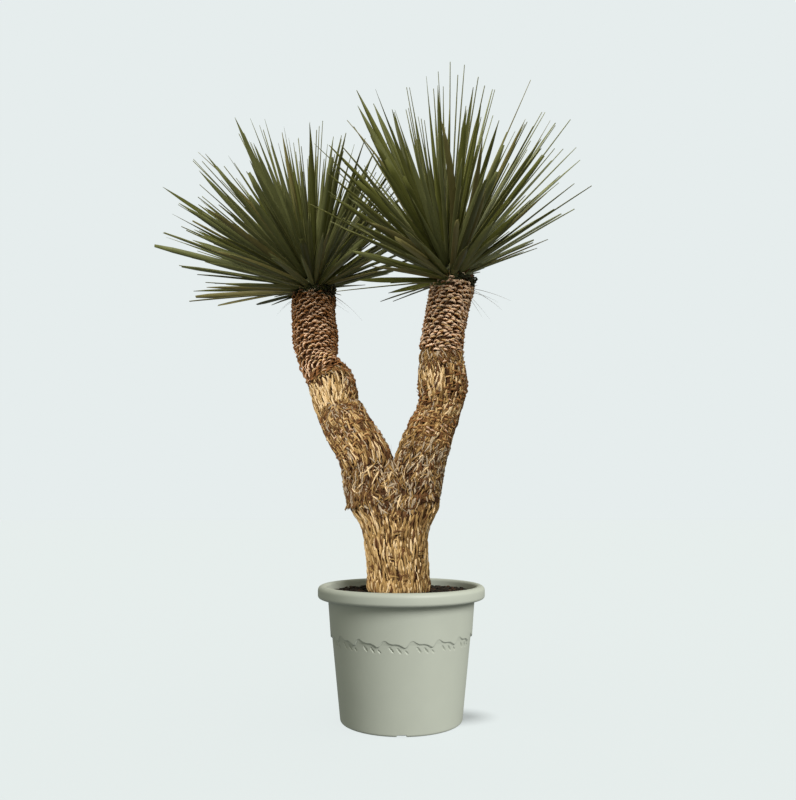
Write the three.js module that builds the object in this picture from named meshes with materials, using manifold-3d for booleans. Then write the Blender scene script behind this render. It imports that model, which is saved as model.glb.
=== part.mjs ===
// Beaked yucca: a forked stem that carries two heads of stiff narrow leaves, planted in a round pot.
// Millimetres, +Z up, +Y away from the viewer. The origin is the centre of the pot's flat underside.
import * as THREE from 'three';
import { mergeVertices } from 'three/addons/utils/BufferGeometryUtils.js';
import Module from 'manifold-3d';

const wasm = await Module();
wasm.setup();

// Gap kept between pieces that touch, and the edge length under which slivers are closed up
const CLEARANCE = 0.3;
const SLIVER = 0.02;

// Pot: a turned shell with a rolled rim, a stepped band and notches under its edge
const POT_SIDES = 36;
const POT_WALL = 5;
const POT_FLOOR = 12;
const BASE_RADIUS = 183;
const BASE_ROUND = 8;
const BAND_FOOT = { radius: 205.5, z: 236 };
const BAND_HEAD = { radius: 213, z: 272 };
const RIM_RADIUS = 250;
const RIM_FOOT = { radius: 219.5, z: 364 };
const RIM_TOP = 402;
const RIM_LOWER_ROUND = 9;
const RIM_UPPER_ROUND = 14;
const RIM_INNER_ROUND = 10;
const RIM_THICKNESS = 26;
const NOTCH = { count: 4, width: 27, height: 7, depth: 36 };
const SOIL_TOP = 379;

// Trunk: level sections from the soil to the fork, each with its centre and its half width and half depth
const TRUNK_SIDES = 20;
const TRUNK = [
  { x: -7, y: 0, z: SOIL_TOP + CLEARANCE, wide: 97, deep: 96 },
  { x: -9, y: 0, z: 430, wide: 93, deep: 94 },
  { x: -14, y: 0, z: 500, wide: 94.5, deep: 93 },
  { x: -18, y: 0, z: 560, wide: 98, deep: 92 },
  { x: -20, y: 0, z: 597, wide: 112, deep: 92 },
  { x: -24, y: 0, z: 628, wide: 131, deep: 90 },
  { x: -27, y: 0, z: 650, wide: 142, deep: 88 },
];

// Boughs: round sections along each limb, the last one just past the plane where the leaves begin
const BOUGH_SIDES = 16;
const RINGS_PER_STATION = 2;
const LEFT_BOUGH = [
  { x: -90, y: 0, z: 600, wide: 80 },
  { x: -95, y: 6, z: 700, wide: 80 },
  { x: -113, y: 20, z: 800, wide: 81 },
  { x: -160, y: 38, z: 872, wide: 74.5 },
  { x: -200, y: 52, z: 940, wide: 65.5 },
  { x: -225, y: 70, z: 1040, wide: 71 },
  { x: -260, y: 82, z: 1094, wide: 60 },
  { x: -270, y: 92, z: 1156, wide: 69 },
  { x: -278, y: 100, z: 1243, wide: 67 },
  { x: -276, y: 112, z: 1385, wide: 66 },
];
const RIGHT_BOUGH = [
  { x: 39, y: 0, z: 600, wide: 80 },
  { x: 43, y: -8, z: 700, wide: 79 },
  { x: 63, y: -22, z: 794, wide: 75 },
  { x: 86.5, y: -38, z: 859, wide: 70.5 },
  { x: 112, y: -50, z: 915, wide: 61 },
  { x: 121, y: -72, z: 1008, wide: 72 },
  { x: 116, y: -83, z: 1062, wide: 65 },
  { x: 122, y: -95, z: 1157, wide: 62 },
  { x: 136, y: -103, z: 1223, wide: 61 },
  { x: 161, y: -114, z: 1340, wide: 65 },
];

// The crotch is an upright plane between the boughs, turned so that the left one passes behind
const CROTCH = { x: -27, turn: -15 };

// Heads: where each bough is cut for its leaves, which way the head leans, how far its upright leaves sway
// to the right, and how long its leaves are
const LEFT_HEAD = {
  side: 'left',
  seed: 11,
  tip: new THREE.Vector3(-277, 106, 1322),
  lean: new THREE.Vector3(-0.22, -0.15, 1),
  sway: 0.06,
  oldestPolar: 97,
  sideLength: 480,
  topLength: 418,
};
const RIGHT_HEAD = {
  side: 'right',
  seed: 29,
  tip: new THREE.Vector3(147, -108, 1290),
  lean: new THREE.Vector3(-0.33, -0.14, 1),
  sway: 0.22,
  oldestPolar: 92,
  sideLength: 455,
  topLength: 528,
};

// Tiers of a head, from the oldest leaves to the youngest: a length of stem, and how its leaves stand.
// Heights and radii belong to the stem, polar angles are measured from the head's axis, in degrees, and a
// crowding under 1 leaves few leaves at the first angle.
const TIERS = [
  { name: 'lower', leaves: 58, foot: 0, top: 28, footRadius: 62, topRadius: 61, rootFrom: 9, rootTo: 23,
    polarTo: 76, crowding: 0.35, lengthFrom: 0.7, lengthTo: 1, crest: 0 },
  { name: 'middle', leaves: 108, foot: 28, top: 60, footRadius: 60, topRadius: 49, rootFrom: 35, rootTo: 54,
    polarFrom: 72, polarTo: 41, crowding: 1, lengthFrom: 1, lengthTo: 1.03, crest: 0 },
  { name: 'upper', leaves: 60, foot: 60, top: 100, footRadius: 48, topRadius: 20, rootFrom: 77, rootTo: 99,
    polarFrom: 37, polarTo: 5, crowding: 1, lengthFrom: 1.03, lengthTo: 1, crest: 8 },
];
const STEM_SIDES = 10;

// Leaves: a flat four-sided blade, sunk in the stem, widest just above its root
const LEAF_WIDTH = 21;
const LEAF_THICKNESS = 6.2;
const LEAF_SINK = 20;
const LEAF_WIDEST = 0.11;
const POLAR_JITTER = 1.6;
const TURN_JITTER = 6;
const LENGTH_JITTER = 0.07;
const SHORTEST_SHARE = 0.72;
const HEAD_MARGIN = 4;
const GOLDEN_ANGLE = 180 * (3 - Math.sqrt(5));

// Half the edge of the blocks that trim the limbs
const TRIM_REACH = 900;

const UP = new THREE.Vector3(0, 0, 1);
const { degToRad, lerp } = THREE.MathUtils;

// Finishes
const finishes = {
  pot: new THREE.MeshStandardMaterial({ color: 0xb4bcae, roughness: 0.55, metalness: 0 }),
  soil: new THREE.MeshStandardMaterial({ color: 0x2c2519, roughness: 0.95, metalness: 0 }),
  bark: new THREE.MeshStandardMaterial({ color: 0xa07f54, roughness: 0.9, metalness: 0 }),
  leaf: new THREE.MeshStandardMaterial({ color: 0x4b5029, roughness: 0.6, metalness: 0 }),
};

// Seeded random numbers between 0 and 1
function randomFrom(seed) {
  let state = seed;
  return () => {
    state = (state + 0x6d2b79f5) | 0;
    let mixed = Math.imul(state ^ (state >>> 15), state | 1);
    mixed ^= mixed + Math.imul(mixed ^ (mixed >>> 7), mixed | 61);
    return ((mixed ^ (mixed >>> 14)) >>> 0) / 4294967296;
  };
}

// A closed geometry as a solid, without the collapsed triangles that lie on a turning axis
function solidOf(geometry) {
  const bare = geometry.clone();
  bare.deleteAttribute('normal');
  bare.deleteAttribute('uv');
  const merged = mergeVertices(bare, 1e-4);
  const index = merged.index.array;
  const corners = [];
  for (let i = 0; i < index.length; i += 3) {
    const [a, b, c] = [index[i], index[i + 1], index[i + 2]];
    if (a !== b && b !== c && c !== a) {
      corners.push(a, b, c);
    }
  }
  const vertProperties = new Float32Array(merged.attributes.position.array);
  const triVerts = new Uint32Array(corners);
  return new wasm.Manifold(new wasm.Mesh({ numProp: 3, vertProperties, triVerts }));
}

// The largest body of a solid as a geometry: loose scraps and sealed hollows are left behind
function geometryOf(solid) {
  const bodies = solid.simplify(SLIVER).decompose();
  bodies.sort((first, second) => second.volume() - first.volume());
  const mesh = bodies[0].getMesh();
  const geometry = new THREE.BufferGeometry();
  geometry.setAttribute('position', new THREE.BufferAttribute(mesh.vertProperties, 3));
  geometry.setIndex(new THREE.BufferAttribute(mesh.triVerts, 1));
  geometry.computeVertexNormals();
  return geometry;
}

function namedMesh(name, geometry, material) {
  const mesh = new THREE.Mesh(geometry, material);
  mesh.name = name;
  return mesh;
}

// A profile of radius and height, turned about Z
function turned(points, sides) {
  return new THREE.LatheGeometry(points, sides).rotateX(Math.PI / 2);
}

// A block that fills the space on one side of a plane
function halfSpace(point, normal) {
  const block = new THREE.BoxGeometry(2 * TRIM_REACH, 2 * TRIM_REACH, TRIM_REACH);
  block.translate(0, 0, TRIM_REACH / 2);
  block.applyQuaternion(new THREE.Quaternion().setFromUnitVectors(UP, normal));
  block.translate(point.x, point.y, point.z);
  return solidOf(block);
}

// A tapering limb through its stations, with level sections or sections square to its run
function limb(stations, sides, level) {
  const centres = new THREE.CatmullRomCurve3(stations.map(({ x, y, z }) => new THREE.Vector3(x, y, z)));
  const halfSizes = new THREE.CatmullRomCurve3(
    stations.map(({ wide, deep = wide }) => new THREE.Vector3(wide, deep, 0)),
    false,
    'catmullrom',
  );
  const rings = (stations.length - 1) * RINGS_PER_STATION;
  const geometry = new THREE.CylinderGeometry(1, 1, 1, sides, rings);
  geometry.rotateX(Math.PI / 2).translate(0, 0, 0.5);
  const position = geometry.attributes.position;
  for (let i = 0; i < position.count; i += 1) {
    const share = THREE.MathUtils.clamp(position.getZ(i), 0, 1);
    const run = level ? UP : centres.getTangent(share);
    const across = new THREE.Vector3(0, 1, 0).cross(run).normalize();
    const inward = new THREE.Vector3().crossVectors(run, across);
    const halfSize = halfSizes.getPoint(share);
    const point = centres.getPoint(share);
    point.addScaledVector(across, position.getX(i) * halfSize.x);
    point.addScaledVector(inward, position.getY(i) * halfSize.y);
    position.setXYZ(i, point.x, point.y, point.z);
  }
  return geometry;
}

// Radius of the pot's outer wall at a height under the rim
function outerWall(z) {
  if (z < BAND_FOOT.z) {
    return lerp(BASE_RADIUS, BAND_FOOT.radius, (z - BASE_ROUND) / (BAND_FOOT.z - BASE_ROUND));
  }
  if (z < BAND_HEAD.z) {
    return lerp(BAND_FOOT.radius, BAND_HEAD.radius, (z - BAND_FOOT.z) / (BAND_HEAD.z - BAND_FOOT.z));
  }
  return lerp(BAND_HEAD.radius, RIM_FOOT.radius, (z - BAND_HEAD.z) / (RIM_FOOT.z - BAND_HEAD.z));
}

// The hollow of the pot up to a height, drawn in from its wall by a clearance
function hollowProfile(top, clearance) {
  const mouth = { radius: RIM_RADIUS - RIM_THICKNESS, z: RIM_TOP - RIM_INNER_ROUND };
  const shoulder = { radius: RIM_FOOT.radius - POT_WALL, z: RIM_FOOT.z - POT_WALL };
  const topShare = (top - shoulder.z) / (mouth.z - shoulder.z);
  const inset = POT_WALL + clearance;
  return [
    new THREE.Vector2(0, POT_FLOOR + clearance),
    new THREE.Vector2(BASE_RADIUS - BASE_ROUND - inset, POT_FLOOR + clearance),
    new THREE.Vector2(outerWall(2 * BASE_ROUND) - inset, 2 * BASE_ROUND),
    new THREE.Vector2(BAND_FOOT.radius - inset, BAND_FOOT.z),
    new THREE.Vector2(BAND_HEAD.radius - inset, BAND_HEAD.z),
    new THREE.Vector2(shoulder.radius - clearance, shoulder.z),
    new THREE.Vector2(lerp(shoulder.radius, mouth.radius, topShare) - clearance, top),
  ];
}

function makePot() {
  const mouthZ = RIM_TOP - RIM_INNER_ROUND;
  const innerRadius = RIM_RADIUS - RIM_THICKNESS;
  const outside = new THREE.Path();
  outside.moveTo(0, 0);
  outside.lineTo(BASE_RADIUS - BASE_ROUND, 0);
  outside.absarc(BASE_RADIUS - BASE_ROUND, BASE_ROUND, BASE_ROUND, -Math.PI / 2, 0, false);
  outside.lineTo(BAND_FOOT.radius, BAND_FOOT.z);
  outside.lineTo(BAND_HEAD.radius, BAND_HEAD.z);
  outside.lineTo(RIM_FOOT.radius, RIM_FOOT.z);
  outside.absarc(
    RIM_RADIUS - RIM_LOWER_ROUND, RIM_FOOT.z + RIM_LOWER_ROUND, RIM_LOWER_ROUND, -Math.PI / 2, 0, false,
  );
  outside.absarc(
    RIM_RADIUS - RIM_UPPER_ROUND, RIM_TOP - RIM_UPPER_ROUND, RIM_UPPER_ROUND, 0, Math.PI / 2, false,
  );
  outside.absarc(innerRadius + RIM_INNER_ROUND, mouthZ, RIM_INNER_ROUND, Math.PI / 2, Math.PI, false);
  const inside = hollowProfile(mouthZ, 0).reverse().slice(1);
  let pot = solidOf(turned([...outside.getPoints(2), ...inside], POT_SIDES));
  for (let i = 0; i < NOTCH.count; i += 1) {
    const notch = new THREE.BoxGeometry(NOTCH.width, NOTCH.depth, 2 * NOTCH.height);
    notch.translate(0, -BASE_RADIUS, 0);
    notch.rotateZ((i * 2 * Math.PI) / NOTCH.count);
    pot = pot.subtract(solidOf(notch));
  }
  return namedMesh('pot', geometryOf(pot), finishes.pot);
}

function makeSoil() {
  const profile = [...hollowProfile(SOIL_TOP, CLEARANCE), new THREE.Vector2(0, SOIL_TOP)];
  return namedMesh('soil', geometryOf(solidOf(turned(profile, POT_SIDES))), finishes.soil);
}

function makeTrunk() {
  return namedMesh('trunk', geometryOf(solidOf(limb(TRUNK, TRUNK_SIDES, true))), finishes.bark);
}

// A bough stands on the trunk's top, keeps to its side of the crotch and ends square to its head
function boughSolid(stations, head, sideSign) {
  const forkTop = TRUNK[TRUNK.length - 1].z + CLEARANCE;
  const turn = degToRad(CROTCH.turn);
  const towardsOther = new THREE.Vector3(Math.cos(turn), Math.sin(turn), 0).multiplyScalar(-sideSign);
  const crotch = new THREE.Vector3(CROTCH.x, 0, forkTop - CLEARANCE);
  crotch.addScaledVector(towardsOther, -CLEARANCE / 2);
  return solidOf(limb(stations, BOUGH_SIDES, false))
    .subtract(halfSpace(new THREE.Vector3(0, 0, forkTop), UP.clone().negate()))
    .subtract(halfSpace(crotch, towardsOther))
    .subtract(halfSpace(head.tip, head.lean.clone().normalize()));
}

// The length of stem that carries one tier, turned about the head's axis
function tierStem(tier) {
  const foot = tier.foot + CLEARANCE;
  const profile = [
    new THREE.Vector2(0, foot),
    new THREE.Vector2(tier.footRadius, foot),
    new THREE.Vector2(tier.topRadius, tier.top),
    new THREE.Vector2(0, tier.top + tier.crest),
  ];
  return turned(profile, STEM_SIDES);
}

// One leaf from its root to its tip along a direction, its blade square to the plane through the axis
function leafGeometry(root, direction, length, axis) {
  const blade = new THREE.LatheGeometry(
    [new THREE.Vector2(0, 0), new THREE.Vector2(0.5, LEAF_WIDEST), new THREE.Vector2(0, 1)],
    4,
  );
  blade.scale(LEAF_WIDTH, length, LEAF_THICKNESS);
  const across = new THREE.Vector3().crossVectors(direction, axis).normalize();
  const face = new THREE.Vector3().crossVectors(across, direction);
  const frame = new THREE.Matrix4().makeBasis(across, direction, face);
  frame.setPosition(root);
  return blade.applyMatrix4(frame);
}

// Length that a leaf has before it would reach the plane between the heads
function roomFor(root, direction, space) {
  const towards = direction.dot(space.normal);
  const distance = -space.normal.dot(root.clone().sub(space.point)) - HEAD_MARGIN;
  return towards > 0 ? distance / towards : Infinity;
}

// One tier of leaves: they turn by the golden angle and rise with age from the oldest to the youngest
function tierSolid(head, tier, firstLeaf, space, limbs) {
  const random = randomFrom(head.seed * 100 + firstLeaf);
  const polarFrom = tier.polarFrom ?? head.oldestPolar;
  const axis = head.lean.clone().normalize();
  const upright = new THREE.Matrix4().makeRotationFromQuaternion(
    new THREE.Quaternion().setFromUnitVectors(UP, axis),
  );
  upright.setPosition(head.tip);
  let solid = solidOf(tierStem(tier).applyMatrix4(upright));
  for (let i = 0; i < tier.leaves; i += 1) {
    const share = (i + 0.5) / tier.leaves;
    const turn = degToRad((firstLeaf + i) * GOLDEN_ANGLE + TURN_JITTER * (2 * random() - 1));
    const age = share ** tier.crowding;
    const polar = degToRad(lerp(polarFrom, tier.polarTo, age) + POLAR_JITTER * (2 * random() - 1));
    const stretch = 1 + LENGTH_JITTER * (2 * random() - 1);
    const height = lerp(tier.rootFrom, tier.rootTo, share);
    const stemShare = (height - tier.foot) / (tier.top - tier.foot);
    const stemRadius = lerp(tier.footRadius, tier.topRadius, stemShare) * Math.cos(Math.PI / STEM_SIDES);
    const direction = new THREE.Vector3().setFromSphericalCoords(1, polar, turn);
    direction.set(direction.x, direction.z, direction.y);
    const root = new THREE.Vector3(stemRadius * Math.sin(turn), stemRadius * Math.cos(turn), height);
    root.addScaledVector(direction, -LEAF_SINK);
    root.applyMatrix4(upright);
    direction.transformDirection(upright);
    direction.x += head.sway * Math.max(0, direction.z) ** 2;
    direction.normalize();
    const upness = Math.max(0, direction.z);
    const fullLength = lerp(head.sideLength, head.topLength, upness ** 4) * stretch
      * lerp(tier.lengthFrom, tier.lengthTo, share);
    const length = Math.min(fullLength, roomFor(root, direction, space));
    if (length < SHORTEST_SHARE * fullLength) {
      continue;
    }
    const leaf = solidOf(leafGeometry(root, direction, length, axis));
    if (limbs.every((other) => leaf.intersect(other).isEmpty())) {
      solid = solid.add(leaf);
    }
  }
  return solid;
}

// All tiers of one head, as separate meshes
function makeHead(head, space, limbs) {
  const meshes = [];
  let firstLeaf = 0;
  for (const tier of TIERS) {
    const solid = tierSolid(head, tier, firstLeaf, space, limbs);
    meshes.push(namedMesh(`${head.side}_${tier.name}_leaves`, geometryOf(solid), finishes.leaf));
    firstLeaf += tier.leaves;
  }
  return meshes;
}

function makePlant() {
  const leftBough = boughSolid(LEFT_BOUGH, LEFT_HEAD, -1);
  const rightBough = boughSolid(RIGHT_BOUGH, RIGHT_HEAD, 1);
  const limbs = [leftBough, rightBough];
  const between = LEFT_HEAD.tip.clone().lerp(RIGHT_HEAD.tip, 0.5);
  const leftToRight = RIGHT_HEAD.tip.clone().sub(LEFT_HEAD.tip).normalize();
  const leftSpace = { point: between, normal: leftToRight };
  const rightSpace = { point: between, normal: leftToRight.clone().negate() };
  return [
    namedMesh('left_bough', geometryOf(leftBough), finishes.bark),
    namedMesh('right_bough', geometryOf(rightBough), finishes.bark),
    ...makeHead(LEFT_HEAD, leftSpace, limbs),
    ...makeHead(RIGHT_HEAD, rightSpace, limbs),
  ];
}

const beakedYucca = new THREE.Group();
beakedYucca.add(makePot(), makeSoil(), makeTrunk(), ...makePlant());

export default beakedYucca;
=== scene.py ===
"""Potted beaked yucca: the looks of the plant and its pot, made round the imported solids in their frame."""

import math
from typing import NamedTuple

import bmesh
import bpy
import numpy as np
from bpy.props import FloatProperty, FloatVectorProperty, IntProperty, PointerProperty
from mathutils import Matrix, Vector


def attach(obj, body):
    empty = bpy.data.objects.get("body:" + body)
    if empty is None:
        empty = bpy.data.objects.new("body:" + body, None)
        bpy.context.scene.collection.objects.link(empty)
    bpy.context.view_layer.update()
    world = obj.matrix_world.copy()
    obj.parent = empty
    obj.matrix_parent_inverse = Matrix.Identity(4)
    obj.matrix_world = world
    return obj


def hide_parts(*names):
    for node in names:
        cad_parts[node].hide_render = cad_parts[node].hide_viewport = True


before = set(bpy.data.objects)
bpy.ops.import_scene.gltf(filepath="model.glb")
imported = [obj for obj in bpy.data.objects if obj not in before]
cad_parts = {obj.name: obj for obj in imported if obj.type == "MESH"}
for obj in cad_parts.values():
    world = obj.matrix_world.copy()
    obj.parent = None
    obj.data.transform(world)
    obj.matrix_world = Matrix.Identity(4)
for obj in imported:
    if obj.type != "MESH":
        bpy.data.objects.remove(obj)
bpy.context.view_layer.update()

bl_info = {
    "name": "Potted Beaked Yucca",
    "version": (1, 0, 0),
    "blender": (4, 5, 0),
    "location": "View3D > Sidebar > Yucca",
    "description": "Makes a forked beaked yucca with its bark, leaves, soil and pot",
    "category": "Add Mesh",
}

MM = 0.001
GOLDEN_ANGLE = math.pi * (3 - math.sqrt(5))
GOLDEN_SHARE = GOLDEN_ANGLE / (2 * math.pi)
FRONT = -math.pi / 2

# Pot: radii and heights of its turned wall, as in the solid
POT_WALL = 5 * MM
POT_FLOOR = 12 * MM
BASE_RADIUS = 183 * MM
BASE_ROUND = 8 * MM
BAND_FOOT_RADIUS, BAND_FOOT_Z = 205.5 * MM, 236 * MM
BAND_HEAD_RADIUS, BAND_HEAD_Z = 213 * MM, 272 * MM
RIM_RADIUS = 250 * MM
RIM_FOOT_RADIUS, RIM_FOOT_Z = 219.5 * MM, 364 * MM
RIM_TOP = 402 * MM
RIM_LOWER_ROUND = 9 * MM
RIM_UPPER_ROUND = 14 * MM
RIM_INNER_ROUND = 10 * MM
RIM_THICKNESS = 26 * MM
NOTCH_COUNT = 4
NOTCH_WIDTH = 27 * MM
NOTCH_HEIGHT = 7 * MM
NOTCH_INNER_RADIUS = 165 * MM
NOTCH_LEAD = 2 * MM
STRAIGHT_FOOT_Z = 60 * MM
RIM_FILLET = 4 * MM
SOIL_TOP = 379 * MM
SOIL_GAP = 0.5 * MM

# Relief on the pot's band: a wavy step with slanted leaflets under it, repeated round the wall
RELIEF_COLUMNS = 42
RELIEF_FOOT_Z, RELIEF_HEAD_Z = 222 * MM, 288 * MM
RELIEF_ROW = 1.3 * MM
WAVE_MIDDLE_Z = 258 * MM
WAVE_HEIGHT = 9 * MM
WAVE_SKEW = 0.16
STEP_SOFTNESS = 2 * MM
LEAFLETS = (
    {"place": 0.38, "z": 243 * MM, "half_length": 11 * MM, "half_width": 2.6 * MM, "height": -3.8 * MM},
    {"place": 0.66, "z": 241 * MM, "half_length": 10 * MM, "half_width": 2.4 * MM, "height": -3.6 * MM},
    {"place": 0.93, "z": 237 * MM, "half_length": 7 * MM, "half_width": 2.0 * MM, "height": -2.6 * MM},
)
LEAFLET_SLANT = math.radians(-52)

# Limbs: centre, half width and half depth of each section in millimetres, as in the solids
TRUNK_STATIONS = (
    (-7, 0, 379.3, 97, 96), (-9, 0, 430, 93, 94), (-14, 0, 500, 94.5, 93), (-18, 0, 560, 98, 92),
    (-20, 0, 597, 112, 92), (-24, 0, 628, 131, 90), (-27, 0, 650, 142, 88), (-27, 0, 676, 143, 82),
)
LEFT_STATIONS = (
    (-90, 0, 600, 80, 80), (-95, 6, 700, 80, 80), (-113, 20, 800, 81, 81), (-160, 38, 872, 74.5, 74.5),
    (-200, 52, 940, 65.5, 65.5), (-225, 70, 1040, 71, 71), (-260, 82, 1094, 60, 60),
    (-270, 92, 1156, 69, 69), (-278, 100, 1243, 67, 67), (-276, 112, 1385, 66, 66),
)
RIGHT_STATIONS = (
    (39, 0, 600, 80, 80), (43, -8, 700, 79, 79), (63, -22, 794, 75, 75), (86.5, -38, 859, 70.5, 70.5),
    (112, -50, 915, 61, 61), (121, -72, 1008, 72, 72), (116, -83, 1062, 65, 65), (122, -95, 1157, 62, 62),
    (136, -103, 1223, 61, 61), (161, -114, 1340, 65, 65),
)
# The mat of fibre that fills the crotch between the boughs
SADDLE_STATIONS = (
    (-27, 0, 600, 70, 84), (-28, -2, 660, 66, 82), (-30, -4, 715, 50, 74), (-33, -6, 760, 28, 54),
    (-34, -7, 785, 12, 26),
)
# Bulges and hollows of the limbs' skin: height, turn, reach along the limb and rise, lengths in millimetres
SWELLS = {
    "trunk": ((650, math.pi, 22, -7), (600, 0, 50, 4)),
    "left": (
        (660, math.pi, 22, -7), (820, 0, 42, -7), (915, 0, 26, 8), (968, 0, 30, 8), (1060, 0, 34, -9),
    ),
    "right": ((922, math.pi, 22, 6), (1160, math.pi, 75, -6)),
}
FORK_Z = 650 * MM
CROTCH_X = -27 * MM
CROTCH_TURN = math.radians(-15)

# Heads: where each bough ends, which way its head leans, how far its upright leaves sway to the right
# and how long its leaves are, as in the solids. The seeds are this script's own.
# Towards each of its openings a head loses a share of its leaves, at its heart a share of them is young
# and short, and on the side where light falls on it they take a lighter tone, painted light, and are more
# slender.
HEADS = {
    "left": {
        "seed": 52, "tip": (-277 * MM, 106 * MM, 1322 * MM), "lean": (-0.22, -0.15, 1), "oldest_polar": 97,
        "sway": 0.06, "side_length": 480 * MM, "top_length": 418 * MM, "bent_share": 0.01,
        "openings": (((0.1, -0.75, -0.8), 0.7), ((-0.9, 0, -0.45), 0.5), ((0.9, 0, -0.15), 0.78)),
        "heart": (0, 0, 1), "young_share": 0.2,
        "painted_light_side": (-0.3, -0.9, 0.3), "painted_light_tone": "fresh", "slender": 0,
    },
    "right": {
        "seed": 101, "tip": (147 * MM, -108 * MM, 1290 * MM), "lean": (-0.33, -0.14, 1), "oldest_polar": 92,
        "sway": 0.22, "side_length": 455 * MM, "top_length": 528 * MM, "bent_share": 0.035,
        "openings": (((0.1, -0.75, -0.8), 0.7), ((0.95, -0.1, 0.1), 0.62), ((-0.9, 0, -0.25), 0.78)),
        "heart": (0.1, 0, 1), "young_share": 0.42,
        "painted_light_side": (0.9, 0, 0.4), "painted_light_tone": "sunlit", "slender": 0.4,
    },
}
# Tiers of a head, from its oldest leaves to its youngest: heights and radii in millimetres along the head's
# short stem, angles from its axis in degrees, lengths as shares of the head's, and weights of the outlines
TIERS = {
    "lower": {
        "leaves": 58, "foot": 0, "top": 28, "foot_radius": 62, "top_radius": 61,
        "root_from": 9, "root_to": 23, "polar_from": None, "polar_to": 76, "crowding": 0.35,
        "length_from": 0.7, "length_to": 1,
        "tones": {"deep": 4, "olive": 8, "fresh": 4, "yellowed": 3}, "outlines": (0.1, 0.6, 0.3),
    },
    "middle": {
        "leaves": 108, "foot": 28, "top": 60, "foot_radius": 60, "top_radius": 49,
        "root_from": 35, "root_to": 54, "polar_from": 72, "polar_to": 41, "crowding": 1,
        "length_from": 1, "length_to": 1.03,
        "tones": {"deep": 4, "olive": 9, "fresh": 6, "yellowed": 1}, "outlines": (0.36, 0.48, 0.16),
    },
    "upper": {
        "leaves": 60, "foot": 60, "top": 100, "foot_radius": 48, "top_radius": 20,
        "root_from": 77, "root_to": 99, "polar_from": 37, "polar_to": 5, "crowding": 1,
        "length_from": 1.03, "length_to": 1,
        "tones": {"deep": 4, "olive": 9, "fresh": 7, "yellowed": 1}, "outlines": (0.8, 0.2, 0),
    },
}
# The youngest leaves, which cover the top of each head's core
HEART_TIER = {
    "leaves": 30, "foot": 60, "top": 100, "foot_radius": 48, "top_radius": 8,
    "root_from": 64, "root_to": 102, "polar_from": 66, "polar_to": 4, "crowding": 1,
    "length_from": 0.52, "length_to": 0.4,
    "tones": {"deep": 3, "olive": 9, "fresh": 8}, "outlines": (1, 0, 0),
}
LEAF_SINK = 20 * MM
POLAR_JITTER = 4
TURN_JITTER = 9
LONGEST_SHARE = 1.02
LENGTH_SPREAD = 0.3
SHORTEST_SHARE = 0.66
YOUNG_LENGTH = 0.46
YOUNG_WIDTH = 0.75
HEAD_MARGIN = -50 * MM

# Sections of strips, clockwise as seen from the tip: across in half widths, up in thicknesses
STRIP_SECTION = ((-1, 0), (-0.5, 0.8), (0.5, 0.8), (1, 0), (0, -0.5))
LEAF_SECTION = ((-1, 1), (0, 0.15), (1, 1), (1, 0.7), (0, -0.75), (-1, 0.7))
LEAF_MARGINS = (2, 5)
FIBRE_SECTION = ((-1, -0.4), (0, 0.9), (1, -0.4))
# Sides of a leaf base's section that face down; they take the patch's darker underside tone, partly the
# base's own body colour and partly painted shade
LIP_UNDERSIDE = (2, 3, 4)
STRIP_BED = -6 * MM
TEXTURE_SCATTER = 5

# Samples along a limb, and the step that its run's direction is taken over
HEIGHT_SAMPLES = 400
SECTION_SAMPLES = 90
TANGENT_STEP = 2 * MM
WELD = 0.01 * MM


def lerp(start, end, share):
    return start + (end - start) * share


def smooth_step(value):
    share = np.clip(value, 0, 1)
    return share * share * (3 - 2 * share)


def unit(vectors):
    return vectors / np.linalg.norm(vectors, axis=-1, keepdims=True)


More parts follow.
